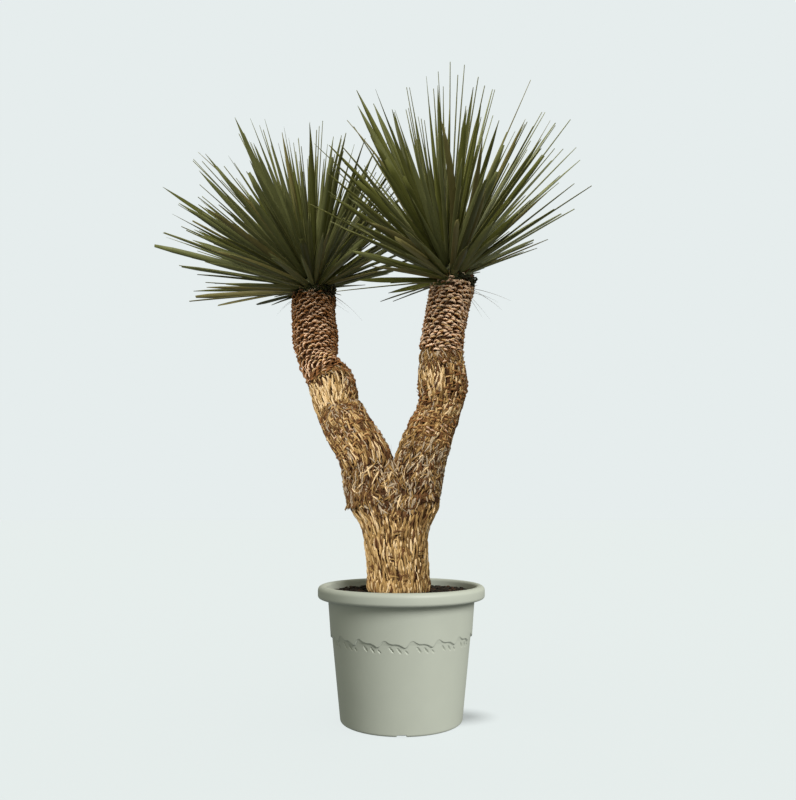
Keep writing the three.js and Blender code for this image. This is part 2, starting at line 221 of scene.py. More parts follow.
class Limb:
    """A tapering limb through its stations, run along by the length of its centre line, with its sections
    level or square to its run."""

    def __init__(self, stations, foot=0.0, level=False, swells=()):
        self.rows = np.array(stations, float) * MM
        self.level = level
        self.swells = swells
        self.foot = max(foot, self.rows[0, 2])
        steps = np.linalg.norm(np.diff(self.rows[:, :3], axis=0), axis=1)
        self.knots = np.concatenate(([0.0], np.cumsum(steps)))
        self.slopes = np.gradient(self.rows, self.knots, axis=0)
        self.length = self.knots[-1]

    def rows_at(self, run):
        """Centre, half width and half depth at a run, by a smooth cubic through the stations."""
        run = np.clip(run, 0, self.length)
        index = np.clip(np.searchsorted(self.knots, run, side="right") - 1, 0, len(self.knots) - 2)
        span = (self.knots[index + 1] - self.knots[index])[..., None]
        share = (run - self.knots[index])[..., None] / span
        rest = 1 - share
        near = (1 + 2 * share) * rest ** 2 * self.rows[index]
        far = share ** 2 * (3 - 2 * share) * self.rows[index + 1]
        pulls = share * rest ** 2 * self.slopes[index] - share ** 2 * rest * self.slopes[index + 1]
        return near + far + span * pulls

    def run_at_height(self, z):
        runs = np.linspace(0, self.length, HEIGHT_SAMPLES)
        return np.interp(z, self.rows_at(runs)[:, 2], runs)

    def swell(self, run, turn):
        """How far the skin stands out of its plain section, by the limb's bulges and hollows."""
        rise = np.zeros(np.shape(run))
        for z, middle, reach, amount in self.swells:
            along = (run - self.run_at_height(z * MM)) / (reach * MM)
            rise = rise + amount * MM * np.exp(-along ** 2) * np.maximum(0, np.cos(turn - middle)) ** 2
        return rise

    def surface(self, run, turn):
        """Points on the limb's skin and the directions out of it; a turn of 0 is on +X and FRONT on -Y."""
        row = self.rows_at(run)
        ahead, behind = self.rows_at(run + TANGENT_STEP), self.rows_at(run - TANGENT_STEP)
        tangent = unit(ahead[..., :3] - behind[..., :3])
        if self.level:
            tangent = np.broadcast_to((0.0, 0.0, 1.0), tangent.shape)
        across = unit(np.cross((0, 1, 0), tangent))
        inward = np.cross(tangent, across)
        wide, deep = row[..., 3:4], row[..., 4:5]
        cos, sin = np.cos(turn)[..., None], np.sin(turn)[..., None]
        point = row[..., :3] + across * wide * cos + inward * deep * sin
        outward = unit(across * deep * cos + inward * wide * sin)
        return point + outward * self.swell(run, turn)[..., None], outward

    def holds(self, points, margin):
        """Whether each point lies in the limb, a margin or more under its skin."""
        rows = self.rows_at(np.linspace(0, self.length, SECTION_SAMPLES))
        gaps = np.linalg.norm(points[..., None, :] - rows[:, :3], axis=-1)
        nearest = rows[np.argmin(gaps, axis=-1)]
        offset = points - nearest[..., :3]
        reach = np.hypot(offset[..., 0] / nearest[..., 3], offset[..., 1] / nearest[..., 4])
        beyond = (points[..., 2] < self.foot) | (points[..., 2] > rows[-1, 2])
        return (reach < 1 - margin / nearest[..., 3]) & ~beyond


TRUNK = Limb(TRUNK_STATIONS, level=True, swells=SWELLS["trunk"])
BOUGHS = {
    "left": Limb(LEFT_STATIONS, FORK_Z, swells=SWELLS["left"]),
    "right": Limb(RIGHT_STATIONS, FORK_Z, swells=SWELLS["right"]),
}
LIMBS = {"trunk": TRUNK, **BOUGHS, "saddle": Limb(SADDLE_STATIONS)}


# Meshes


def lit_group(name):
    """The collection that one of the lamps shines on."""
    return bpy.data.collections.get(name) or bpy.data.collections.new(name)


def finish_piece(piece, slot, *nodes):
    """Lets a piece ride with the plant, hides the solids it stands for, and sets its lamp by its slot."""
    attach(piece, "root")
    if nodes:
        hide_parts(*nodes)
    lit_group("pot_lit" if slot in ("pot_plastic", "potting_soil") else "plant_lit").objects.link(piece)
    return piece


def placed(name, mesh, materials):
    """An object in the scene that shows a mesh in its materials."""
    for material in materials:
        mesh.materials.append(material)
    piece = bpy.data.objects.new(name, mesh)
    bpy.context.scene.collection.objects.link(piece)
    return piece


def turned_shape(profile, steps):
    """A shape turned about the Z axis from a profile of radius and height."""
    shape = bmesh.new()
    verts = [shape.verts.new((radius, 0, z)) for radius, z in profile]
    edges = [shape.edges.new(pair) for pair in zip(verts, verts[1:])]
    bmesh.ops.spin(
        shape, geom=verts + edges, cent=(0, 0, 0), axis=(0, 0, 1), angle=2 * math.pi, steps=steps,
        use_merge=True,
    )
    bmesh.ops.remove_doubles(shape, verts=shape.verts, dist=WELD)
    return shape


def object_from_bmesh(name, shape, materials, smooth_angle=None):
    mesh = bpy.data.meshes.new(name)
    shape.to_mesh(mesh)
    shape.free()
    if smooth_angle is not None:
        mesh.shade_smooth()
        mesh.set_sharp_from_angle(angle=math.radians(smooth_angle))
    return placed(name, mesh, materials)


def ribbon_piece(name, spine, facing, half_width, thickness, section, slots, materials, random):
    """Many closed strips joined in one mesh. Spines and facings are arrays of strip, station and axis;
    slots gives the material of each strip, stretch between stations and side of the section."""
    section = np.array(section, float)
    strips, stations = spine.shape[:2]
    sides = len(section)
    along = unit(np.gradient(spine, axis=1))
    across = unit(np.cross(along, facing))
    face = np.cross(across, along)
    aside = (half_width[..., None] * section[:, 0])[..., None]
    above = (thickness[..., None] * section[:, 1])[..., None]
    points = spine[:, :, None, :] + across[:, :, None, :] * aside + face[:, :, None, :] * above

    ids = np.arange(strips * stations * sides).reshape(strips, stations, sides)
    after = np.roll(ids, -1, axis=2)
    quads = np.stack([ids[:, :-1], after[:, :-1], after[:, 1:], ids[:, 1:]], axis=-1).reshape(-1, 4)
    caps = np.concatenate([ids[:, 0, ::-1], ids[:, -1, :]])
    corners = np.concatenate([quads.ravel(), caps.ravel()])
    starts = np.concatenate([
        np.arange(len(quads)) * 4,
        len(quads) * 4 + np.arange(len(caps)) * sides,
    ])
    side_slots = np.broadcast_to(slots, (strips, stations - 1, sides))
    face_slots = np.concatenate([side_slots.reshape(-1), side_slots[:, 0, 0], side_slots[:, -1, 0]])

    step_lengths = np.linalg.norm(np.diff(spine, axis=1), axis=2)
    distance = np.concatenate([np.zeros((strips, 1)), np.cumsum(step_lengths, axis=1)], axis=1)
    offset = random.uniform(0, TEXTURE_SCATTER, (strips, 1, 1, 2))
    flat = np.empty((strips, stations, sides, 2))
    flat[..., 0] = aside[..., 0]
    flat[..., 1] = distance[..., None]
    flat = (flat + offset).reshape(-1, 2)

    mesh = bpy.data.meshes.new(name)
    mesh.vertices.add(points.size // 3)
    mesh.vertices.foreach_set("co", points.astype(np.float32).ravel())
    mesh.loops.add(len(corners))
    mesh.loops.foreach_set("vertex_index", corners.astype(np.int32))
    mesh.polygons.add(len(starts))
    mesh.polygons.foreach_set("loop_start", starts.astype(np.int32))
    mesh.polygons.foreach_set("material_index", face_slots.astype(np.int32))
    mesh.uv_layers.new(name="along_strip").data.foreach_set("uv", flat[corners].astype(np.float32).ravel())
    mesh.update(calc_edges=True)
    return placed(name, mesh, materials)


def strips_on_limb(limb, run, turn, length, slant, bow, lift):
    """Spines of strips that lie on a limb and the directions out of it. The slant leans a strip round the
    limb, the bow arches it sideways, and the lift is its height over the skin at each station."""
    share = np.linspace(0, 1, lift.shape[1])
    reach = length[:, None] * share
    aside = bow[:, None] * 4 * share * (1 - share)
    cos, sin = np.cos(slant)[:, None], np.sin(slant)[:, None]
    radius = limb.rows_at(run)[:, 3:4]
    runs = run[:, None] + reach * cos + aside * sin
    turns = turn[:, None] + (reach * sin - aside * cos) / radius
    point, outward = limb.surface(runs, turns)
    return point + outward * (lift + STRIP_BED)[..., None], outward


# Materials


def make_node(tree, kind, **inputs):
    node = tree.nodes.new(kind)
    for name, value in inputs.items():
        node.inputs[name.replace("_", " ")].default_value = value
    return node


def fibre_group():
    """Node group: streaks that run along a strip, and soft blotches through the plant."""
    name = "plant_fibre"
    if name in bpy.data.node_groups:
        return bpy.data.node_groups[name]
    tree = bpy.data.node_groups.new(name, "ShaderNodeTree")
    for socket, default in (("Along", 40.0), ("Across", 400.0), ("Blotch Size", 30.0)):
        item = tree.interface.new_socket(socket, in_out="INPUT", socket_type="NodeSocketFloat")
        item.default_value = default
    for socket in ("Streak", "Blotch"):
        tree.interface.new_socket(socket, in_out="OUTPUT", socket_type="NodeSocketFloat")
    inputs = tree.nodes.new("NodeGroupInput")
    outputs = tree.nodes.new("NodeGroupOutput")
    place = tree.nodes.new("ShaderNodeTexCoord")
    stretch = tree.nodes.new("ShaderNodeCombineXYZ")
    tree.links.new(inputs.outputs["Across"], stretch.inputs["X"])
    tree.links.new(inputs.outputs["Along"], stretch.inputs["Y"])
    scaled = tree.nodes.new("ShaderNodeVectorMath")
    scaled.operation = "MULTIPLY"
    tree.links.new(place.outputs["UV"], scaled.inputs[0])
    tree.links.new(stretch.outputs["Vector"], scaled.inputs[1])
    streak = make_node(tree, "ShaderNodeTexNoise", Scale=1.0, Detail=3.0, Roughness=0.6)
    tree.links.new(scaled.outputs["Vector"], streak.inputs["Vector"])
    contrast = make_node(tree, "ShaderNodeMapRange")
    contrast.inputs["From Min"].default_value = 0.3
    contrast.inputs["From Max"].default_value = 0.7
    tree.links.new(streak.outputs["Fac"], contrast.inputs["Value"])
    tree.links.new(contrast.outputs["Result"], outputs.inputs["Streak"])
    blotch = make_node(tree, "ShaderNodeTexNoise", Detail=2.0, Roughness=0.5)
    tree.links.new(place.outputs["Object"], blotch.inputs["Vector"])
    tree.links.new(inputs.outputs["Blotch Size"], blotch.inputs["Scale"])
    tree.links.new(blotch.outputs["Fac"], outputs.inputs["Blotch"])
    return tree


def mixed_colour(tree, first, second, factor):
    """A colour socket between two colours or sockets, by a factor socket."""
    mix = tree.nodes.new("ShaderNodeMix")
    mix.data_type = "RGBA"
    tree.links.new(factor, mix.inputs["Factor"])
    for socket, colour in ((mix.inputs[6], first), (mix.inputs[7], second)):
        if isinstance(colour, bpy.types.NodeSocket):
            tree.links.new(colour, socket)
        else:
            socket.default_value = (*colour, 1)
    return mix.outputs[2]


def new_material(name):
    material = bpy.data.materials.new(name)
    material.use_nodes = True
    tree = material.node_tree
    return material, tree, tree.nodes["Principled BSDF"]


def add_bump(tree, shader, height, strength, distance):
    bump = make_node(tree, "ShaderNodeBump", Strength=strength, Distance=distance)
    tree.links.new(height, bump.inputs["Height"])
    tree.links.new(bump.outputs["Normal"], shader.inputs["Normal"])


def scaled_colour(colour, factor):
    return tuple(min(1.0, channel * factor) for channel in colour)


def fibre_material(
    name, colour, shade=0.55, along=40.0, across=400.0, roughness=0.75, bump=0.5, specular=0.25,
):
    """A fibrous finish: streaks of a darker shade along each strip, and faint blotches."""
    if name in bpy.data.materials:
        return bpy.data.materials[name]
    material, tree, shader = new_material(name)
    fibre = tree.nodes.new("ShaderNodeGroup")
    fibre.node_tree = fibre_group()
    fibre.inputs["Along"].default_value = along
    fibre.inputs["Across"].default_value = across
    streaked = mixed_colour(tree, scaled_colour(colour, shade), colour, fibre.outputs["Streak"])
    blotched = mixed_colour(tree, streaked, scaled_colour(colour, 1.15), fibre.outputs["Blotch"])
    tree.links.new(blotched, shader.inputs["Base Color"])
    shader.inputs["Roughness"].default_value = roughness
    shader.inputs["Specular IOR Level"].default_value = specular
    add_bump(tree, shader, fibre.outputs["Streak"], bump, 0.6 * MM)
    return material


def speckled_material(name, colour, other, scale, roughness, bump, distance, specular=0.4):
    """A finish whose colour wanders between two near tones, with a grained skin."""
    material, tree, shader = new_material(name)
    place = tree.nodes.new("ShaderNodeTexCoord")
    grain = make_node(tree, "ShaderNodeTexNoise", Scale=scale, Detail=6.0, Roughness=0.65)
    cloud = make_node(tree, "ShaderNodeTexNoise", Scale=scale / 60, Detail=2.0, Roughness=0.5)
    for texture in (grain, cloud):
        tree.links.new(place.outputs["Object"], texture.inputs["Vector"])
    tree.links.new(mixed_colour(tree, colour, other, cloud.outputs["Fac"]), shader.inputs["Base Color"])
    spread = make_node(tree, "ShaderNodeMapRange")
    spread.inputs["To Min"].default_value = roughness - 0.06
    spread.inputs["To Max"].default_value = roughness + 0.06
    tree.links.new(grain.outputs["Fac"], spread.inputs["Value"])
    tree.links.new(spread.outputs["Result"], shader.inputs["Roughness"])
    shader.inputs["Specular IOR Level"].default_value = specular
    add_bump(tree, shader, grain.outputs["Fac"], bump, distance)
    return material


# Settings


def colour_property(name, description, default):
    return FloatVectorProperty(
        name=name, description=description, default=default, subtype="COLOR", size=3, min=0, max=1,
    )


def size_property(name, description, default, low, high):
    return FloatProperty(
        name=name, description=description, default=default, min=low, max=high,
        subtype="DISTANCE", unit="LENGTH",
    )


def count_property(name, description, default, low, high):
    return IntProperty(name=name, description=description, default=default, min=low, max=high)


def strength_property(name, description, default):
    return FloatProperty(name=name, description=description, default=default, min=0)


class YuccaPotSettings(bpy.types.PropertyGroup):
    """Finish of the pot and its filling."""

    repeats: count_property("Relief repeats", "How often the ornament repeats round the band", 17, 3, 40)
    plastic: colour_property("Plastic", "Colour of the moulded pot", (0.435, 0.457, 0.388))
    plastic_shade: colour_property("Plastic shade", "Tone that the plastic wanders to", (0.40, 0.42, 0.358))
    soil: colour_property("Soil", "Colour of the moist soil", (0.011, 0.008, 0.005))
    chips: count_property("Soil chips", "Number of crumbs and bark chips on the soil", 1800, 0, 6000)


class YuccaBarkSettings(bpy.types.PropertyGroup):
    """Counts, sizes and colours of what covers the stem."""

    straw_width: size_property(
        "Straw width", "Width of a straw strip on the lower stem", 6.8 * MM, 2 * MM, 40 * MM)
    base_width: size_property(
        "Leaf base width", "Width of a cut leaf base on the upper boughs", 20 * MM, 4 * MM, 40 * MM)
    pale: colour_property("Pale straw", "Lightest straw", (0.72, 0.52, 0.285))
    honey: colour_property("Honey straw", "Light straw", (0.53, 0.345, 0.145))
    tan: colour_property("Tan straw", "Common straw", (0.345, 0.205, 0.069))
    umber: colour_property("Umber straw", "Darker straw", (0.19, 0.102, 0.030))
    brown: colour_property("Leaf base", "Body of a cut leaf base", (0.125, 0.052, 0.015))
    rosy: colour_property("Leaf base tip", "Cut end of a leaf base", (0.84, 0.57, 0.37))
    grey: colour_property("Weathered fibre", "Grey fibre in the fork", (0.40, 0.305, 0.20))
    # The under bark's near-black brown is partly the bark's own colour and partly painted shade in the gaps
    # between the strips
    under: colour_property("Under bark", "Dark bark between the strips", (0.075, 0.029, 0.007))
    # The near-black green under each head is partly the colour of its leaf stubs and partly painted shade
    # under the leaves
    stub: colour_property("Leaf stub", "Dark stubs under the heads", (0.026, 0.027, 0.010))


class YuccaLeafSettings(bpy.types.PropertyGroup):
    """Number, size and colours of the leaves."""

    density: FloatProperty(
        name="Density", description="Leaves in each tier for one leaf of the solid",
        default=1.65, min=0.5, max=5,
    )
    width: size_property("Leaf width", "Width of a blade at its middle", 18.5 * MM, 2 * MM, 60 * MM)
    thickness: size_property(
        "Leaf thickness", "Thickness of a blade along its middle", 2.6 * MM, 0.5 * MM, 10 * MM)
    deep: colour_property("Deep green", "Shaded inner leaves", (0.066, 0.068, 0.014))
    olive: colour_property("Olive green", "Most leaves", (0.098, 0.101, 0.021))
    fresh: colour_property("Fresh green", "Leaves that catch the light", (0.135, 0.140, 0.048))
    yellowed: colour_property("Yellowed green", "Oldest leaves", (0.160, 0.138, 0.045))
    margin: colour_property("Margin", "Pale edge of a blade", (0.28, 0.26, 0.10))
    pale_base: colour_property("Leaf foot", "Greyish foot of a blade", (0.125, 0.128, 0.045))
    sunlit: colour_property("Sunlit green", "Leaves on the bright side", (0.27, 0.28, 0.14))
    dry: colour_property("Dry leaf", "Dead leaves and hairs", (0.12, 0.085, 0.05))


class YuccaStageSettings(bpy.types.PropertyGroup):
    """Floor, light and camera."""

    backdrop: colour_property("Backdrop", "Pale tone behind the plant", (0.791, 0.847, 0.847))
    ambient: strength_property("Ambient", "Strength of the light from all round", 0.5)
    pot_key: strength_property("Pot key", "Strength of the light on the pot", 3.4)
    plant_key: strength_property("Plant key", "Strength of the light on the plant", 3.05)
    plant_fill: strength_property("Plant fill", "Strength of the soft front light", 1.1)
    floor_key: strength_property("Floor key", "Strength of the light on the floor", 6.9)


# Pot


def arc_points(centre_radius, centre_z, radius, start, end, steps):
    angles = np.radians(np.linspace(start, end, steps))
    return [(centre_radius + radius * math.cos(a), centre_z + radius * math.sin(a)) for a in angles]


def line_points(start, end, steps):
    shares = np.linspace(0, 1, steps)
    return [(lerp(start[0], end[0], s), lerp(start[1], end[1], s)) for s in shares]


def lower_wall(z):
    return lerp(BASE_RADIUS, BAND_FOOT_RADIUS, (z - BASE_ROUND) / (BAND_FOOT_Z - BASE_ROUND))


def upper_wall(z):
    return lerp(BAND_HEAD_RADIUS, RIM_FOOT_RADIUS, (z - BAND_HEAD_Z) / (RIM_FOOT_Z - BAND_HEAD_Z))


def pot_profile():
    """Radius and height of the pot's skin, from its underside round the rim to its inner floor."""
    inner_mouth = RIM_RADIUS - RIM_THICKNESS
    rows = round((RELIEF_HEAD_Z - RELIEF_FOOT_Z) / RELIEF_ROW)
    points = [(0, 0), (NOTCH_INNER_RADIUS - NOTCH_LEAD, 0)]
    points += arc_points(BASE_RADIUS - BASE_ROUND, BASE_ROUND, BASE_ROUND, -90, 0, steps=9)
    straight_foot = (lower_wall(STRAIGHT_FOOT_Z), STRAIGHT_FOOT_Z)
    points += line_points(straight_foot, (lower_wall(RELIEF_FOOT_Z), RELIEF_FOOT_Z), steps=5)
    points += [(lower_wall(z), z) for z in np.linspace(RELIEF_FOOT_Z, RELIEF_HEAD_Z, rows)[1:-1]]
    wall_head = (RIM_FOOT_RADIUS, RIM_FOOT_Z - RIM_FILLET)
    points += line_points((upper_wall(RELIEF_HEAD_Z), RELIEF_HEAD_Z), wall_head, steps=4)
    points += arc_points(RIM_FOOT_RADIUS + RIM_FILLET, wall_head[1], RIM_FILLET, 180, 90, steps=4)[1:]
    points += arc_points(
        RIM_RADIUS - RIM_LOWER_ROUND, RIM_FOOT_Z + RIM_LOWER_ROUND, RIM_LOWER_ROUND, -90, 0, steps=7)
    points += arc_points(
        RIM_RADIUS - RIM_UPPER_ROUND, RIM_TOP - RIM_UPPER_ROUND, RIM_UPPER_ROUND, 0, 90, steps=9)
    points += arc_points(
        inner_mouth + RIM_INNER_ROUND, RIM_TOP - RIM_INNER_ROUND, RIM_INNER_ROUND, 90, 180, steps=7)
    points += [
        (RIM_FOOT_RADIUS - POT_WALL, RIM_FOOT_Z - POT_WALL),
        (BAND_HEAD_RADIUS - POT_WALL, BAND_HEAD_Z),
        (BAND_FOOT_RADIUS - POT_WALL, BAND_FOOT_Z),
        (lower_wall(2 * BASE_ROUND) - POT_WALL, 2 * BASE_ROUND),
        (BASE_RADIUS - BASE_ROUND - POT_WALL, POT_FLOOR),
        (0, POT_FLOOR),
    ]
    return points


def band_radius(angle, z, repeats):
    """Radius of the pot's relief: the upper wall steps in along a wave, with leaflets under it."""
    place = (angle / (2 * math.pi) * repeats) % 1
    wave = np.sin(2 * math.pi * (place + WAVE_SKEW * np.sin(2 * math.pi * place)))
    edge = WAVE_MIDDLE_Z + WAVE_HEIGHT * wave
    proud = smooth_step(0.5 + (z - edge) / (2 * STEP_SOFTNESS))
    radius = lerp(lower_wall(z), upper_wall(z), proud)
    period = 2 * math.pi * BAND_FOOT_RADIUS / repeats
    for leaflet in LEAFLETS:
        beside = ((place - leaflet["place"] + 0.5) % 1 - 0.5) * period
        above = z - leaflet["z"]
        along = beside * math.cos(LEAFLET_SLANT) + above * math.sin(LEAFLET_SLANT)
        aside = above * math.cos(LEAFLET_SLANT) - beside * math.sin(LEAFLET_SLANT)
        reach = (along / leaflet["half_length"]) ** 2 + (aside / leaflet["half_width"]) ** 2
        radius = radius + leaflet["height"] * np.sqrt(np.clip(1 - reach, 0, 1))
    return radius


class YUCCA_OT_pot(bpy.types.Operator):
    """Turn the pot with its rolled rim, press the relief into its band and notch its foot"""

    bl_idname = "yucca.pot"
    bl_label = "Pot"

    def execute(self, context):
        settings = context.scene.yucca_pot
        shape = turned_shape(pot_profile(), settings.repeats * RELIEF_COLUMNS)
        places = np.array([v.co for v in shape.verts])
        radius = np.hypot(places[:, 0], places[:, 1])
        angle = np.arctan2(places[:, 1], places[:, 0])
        self.press_relief(places, radius, angle, settings.repeats)
        self.notch_foot(places, radius, angle)
        for vert, place in zip(shape.verts, places):
            vert.co = place
        bmesh.ops.recalc_face_normals(shape, faces=shape.faces)
        plastic = speckled_material(
            "pot_plastic", settings.plastic, settings.plastic_shade, 900.0, 0.5, 0.12, 0.2 * MM)
        finish_piece(object_from_bmesh("pot_shell", shape, [plastic], 40), "pot_plastic", "pot")
        return {"FINISHED"}

    @staticmethod
    def press_relief(places, radius, angle, repeats):
        """Pushes the rows of the outer wall at the band out to the relief."""
        z = places[:, 2]
        outer = (z >= RELIEF_FOOT_Z) & (z <= RELIEF_HEAD_Z) & (radius > lower_wall(z) - POT_WALL / 2)
        pressed = band_radius(angle[outer], z[outer], repeats)
        places[outer, 0] = pressed * np.cos(angle[outer])
        places[outer, 1] = pressed * np.sin(angle[outer])

    @staticmethod
    def notch_foot(places, radius, angle):
        quarter = 2 * math.pi / NOTCH_COUNT
        beside = ((angle + quarter / 2) % quarter - quarter / 2) * radius
        notched = (np.abs(beside) < NOTCH_WIDTH / 2) & (radius > NOTCH_INNER_RADIUS - NOTCH_LEAD / 2)
        notched &= places[:, 2] < NOTCH_HEIGHT
        places[notched, 2] = NOTCH_HEIGHT


SOIL_RINGS = 34
SOIL_STEPS = 140
CHIP_LENGTH = (5 * MM, 15 * MM)
CHIP_RISE = (0, 3 * MM)
CHIP_LEAN = 0.4
CHIP_TILT = 0.3
CHIP_WIDTH_SHARE = (0.2, 0.45)
CHIP_THICKNESS_SHARE = (0.5, 1.0)
CHIP_OUTLINE = np.array([0.45, 1.0, 0.9, 0.35])
CHIP_WEIGHTS = (0.55, 0.3, 0.15)
CHIP_MARGIN = 9 * MM
# Share of the soil's area that the trunk's foot keeps free of chips
CHIP_FREE_SHARE = 0.16


def soil_rise(x, y):
    """Height of the soil's crumbs and low mounds over its bed."""
    crumbs = math.sin(x * 211) * math.sin(y * 187 + 1)
    mounds = math.sin(x * 90 - y * 120)
    return 1.6 * MM * (crumbs + mounds) - 1 * MM


class YUCCA_OT_soil(bpy.types.Operator):
    """Fill the pot with crumbly soil and strew chips on it"""

    bl_idname = "yucca.soil"
    bl_label = "Soil"

    def execute(self, context):
        settings = context.scene.yucca_pot
        mouth = (RIM_RADIUS - RIM_THICKNESS, RIM_TOP - RIM_INNER_ROUND)
        shoulder = (RIM_FOOT_RADIUS - POT_WALL, RIM_FOOT_Z - POT_WALL)
        brim = lerp(shoulder[0], mouth[0], (SOIL_TOP - shoulder[1]) / (mouth[1] - shoulder[1])) - SOIL_GAP
        profile = line_points((0, SOIL_TOP), (brim, SOIL_TOP), SOIL_RINGS)
        profile += [
            (shoulder[0] - SOIL_GAP, shoulder[1]),
            (lower_wall(2 * BASE_ROUND) - POT_WALL - SOIL_GAP, 2 * BASE_ROUND),
            (BASE_RADIUS - BASE_ROUND - POT_WALL, POT_FLOOR + SOIL_GAP),
            (0, POT_FLOOR + SOIL_GAP),
        ]
        shape = turned_shape(profile, SOIL_STEPS)
        for vert in shape.verts:
            if abs(vert.co.z - SOIL_TOP) < 1 * MM:
                vert.co.z += soil_rise(vert.co.x, vert.co.y)
        bmesh.ops.recalc_face_normals(shape, faces=shape.faces)
        earth = speckled_material(
            "potting_soil", settings.soil, scaled_colour(settings.soil, 2.2), 260.0, 0.9, 0.9, 3 * MM, 0.2)
        finish_piece(object_from_bmesh("soil_bed", shape, [earth], 60), "potting_soil", "soil")
        self.strew_chips(settings, brim, earth)
        return {"FINISHED"}

    @staticmethod
    def strew_chips(settings, brim, earth):
        random = np.random.default_rng(5)
        count = settings.chips
        radius = np.sqrt(random.uniform(CHIP_FREE_SHARE, 1, count)) * (brim - CHIP_MARGIN)
        turn = random.uniform(0, 2 * math.pi, count)
        place = np.stack([radius * np.cos(turn), radius * np.sin(turn), np.full(count, SOIL_TOP)], axis=1)
        length = random.uniform(*CHIP_LENGTH, count)
        heading = random.uniform(0, 2 * math.pi, count)
        lean = random.uniform(-CHIP_LEAN, CHIP_LEAN, count)
        along = np.stack([np.cos(heading), np.sin(heading), lean], axis=1)
        share = np.linspace(-0.5, 0.5, len(CHIP_OUTLINE))
        spine = place[:, None] + along[:, None] * (length[:, None] * share)[..., None]
        spine[..., 2] += random.uniform(*CHIP_RISE, (count, 1))
        upward = unit(np.array([0.0, 0.0, 1.0]) + random.normal(0, CHIP_TILT, (count, 1, 3)))
        facing = np.broadcast_to(upward, spine.shape)
        half_width = length[:, None] * random.uniform(*CHIP_WIDTH_SHARE, (count, 1)) * CHIP_OUTLINE
        thickness = half_width * random.uniform(*CHIP_THICKNESS_SHARE, (count, 1))
        chips = [
            earth,
            fibre_material("soil_chip_dark", (0.016, 0.011, 0.007), roughness=0.9),
            fibre_material("soil_chip_brown", (0.06, 0.03, 0.016), roughness=0.9),
        ]
        slots = random.choice(len(chips), size=(count, 1, 1), p=CHIP_WEIGHTS)
        piece = ribbon_piece(
            "soil_chips", spine, facing, half_width, thickness, STRIP_SECTION, slots, chips, random)
        finish_piece(piece, "potting_soil")


# Stem


def bark_relief(run, turn):
    """Height of the under bark: upright ridges that wander, and rings of growth."""
    ridges = np.sin(38 * turn + 2.2 * np.sin(31 * run) + 1.1 * np.sin(5 * turn + 17 * run))
    knots = np.sin(11 * turn + 43 * run) * np.sin(61 * run - 3 * turn)
    rings = np.sin(150 * run + 1.7 * np.sin(3 * turn))
    return (1.3 * ridges + 1.2 * knots + 0.7 * rings - 3) * MM + STRIP_BED


def limb_shape(limb, sides, rings):
    """A closed tube through the limb's sections, with the bark's relief."""
    shape = bmesh.new()
    bmesh.ops.create_cone(shape, cap_ends=True, segments=sides, radius1=1, radius2=1, depth=1)
    upright = [edge for edge in shape.edges if abs(edge.verts[0].co.z - edge.verts[1].co.z) > 0.5]
    bmesh.ops.subdivide_edges(shape, edges=upright, cuts=rings - 1, use_grid_fill=True)
    places = np.array([v.co for v in shape.verts])
    run = (places[:, 2] + 0.5) * limb.length
    turn = np.arctan2(places[:, 1], places[:, 0])
    point, outward = limb.surface(run, turn)
    point = point + outward * bark_relief(run, turn)[:, None]
    for vert, place in zip(shape.verts, point):
        vert.co = place
    return shape


def head_axis(head):
    return Vector(head["lean"]).normalized()


def cut_flat(shape, point, normal):
    """Cuts away what lies beyond a plane and closes the cut."""
    geometry = shape.verts[:] + shape.edges[:] + shape.faces[:]
    bmesh.ops.bisect_plane(
        shape, geom=geometry, dist=0.001 * MM, plane_co=point, plane_no=normal, clear_outer=True)
    rim = [edge for edge in shape.edges if edge.is_boundary]
    bmesh.ops.holes_fill(shape, edges=rim, sides=0)


BARK_TONES = ("pale", "honey", "tan", "umber", "brown", "russet", "rosy", "dull", "grey", "dark", "stub")


def bark_materials(settings):
    """The stem's finishes, in the order of their tones."""
    colours = {
        "pale": settings.pale,
        "honey": settings.honey,
        "tan": settings.tan,
        "umber": settings.umber,
        "brown": settings.brown,
        "russet": scaled_colour(settings.brown, 2.1),
        "rosy": settings.rosy,
        "dull": scaled_colour(settings.rosy, 0.62),
        "grey": settings.grey,
        "dark": settings.under,
        "stub": settings.stub,
    }
    return [fibre_material(f"bark_{tone}", colours[tone], shade=0.5) for tone in BARK_TONES]


class YUCCA_OT_stem(bpy.types.Operator):
    """Make the bark of the trunk, both boughs and the mat in their crotch"""

    bl_idname = "yucca.stem"
    bl_label = "Stem"

    def execute(self, context):
        colour = context.scene.yucca_bark.under
        # The under bark's dark tone darkens the gaps between the strips: partly the bark's own colour,
        # partly painted shade
        under = [fibre_material("bark_under", colour, shade=0.5, along=60, across=60)]
        trunk = limb_shape(TRUNK, sides=110, rings=70)
        bark = finish_piece(object_from_bmesh("trunk_bark", trunk, under, 60), "stem_bark", "trunk")
        lit_group("shade_caster").objects.link(bark)
        for side, limb in BOUGHS.items():
            shape = limb_shape(limb, sides=96, rings=190)
            towards_other = Vector((math.cos(CROTCH_TURN), math.sin(CROTCH_TURN), 0))
            if side == "right":
                towards_other.negate()
            cut_flat(shape, (0, 0, FORK_Z), (0, 0, -1))
            cut_flat(shape, (CROTCH_X, 0, FORK_Z), towards_other)
            cut_flat(shape, HEADS[side]["tip"], head_axis(HEADS[side]))
            bmesh.ops.recalc_face_normals(shape, faces=shape.faces)
            bark = object_from_bmesh(f"{side}_bough_bark", shape, under, 60)
            finish_piece(bark, "stem_bark", f"{side}_bough")
        saddle = limb_shape(LIMBS["saddle"], sides=64, rings=40)
        finish_piece(object_from_bmesh("fork_saddle", saddle, under, 60), "stem_bark")
        return {"FINISHED"}


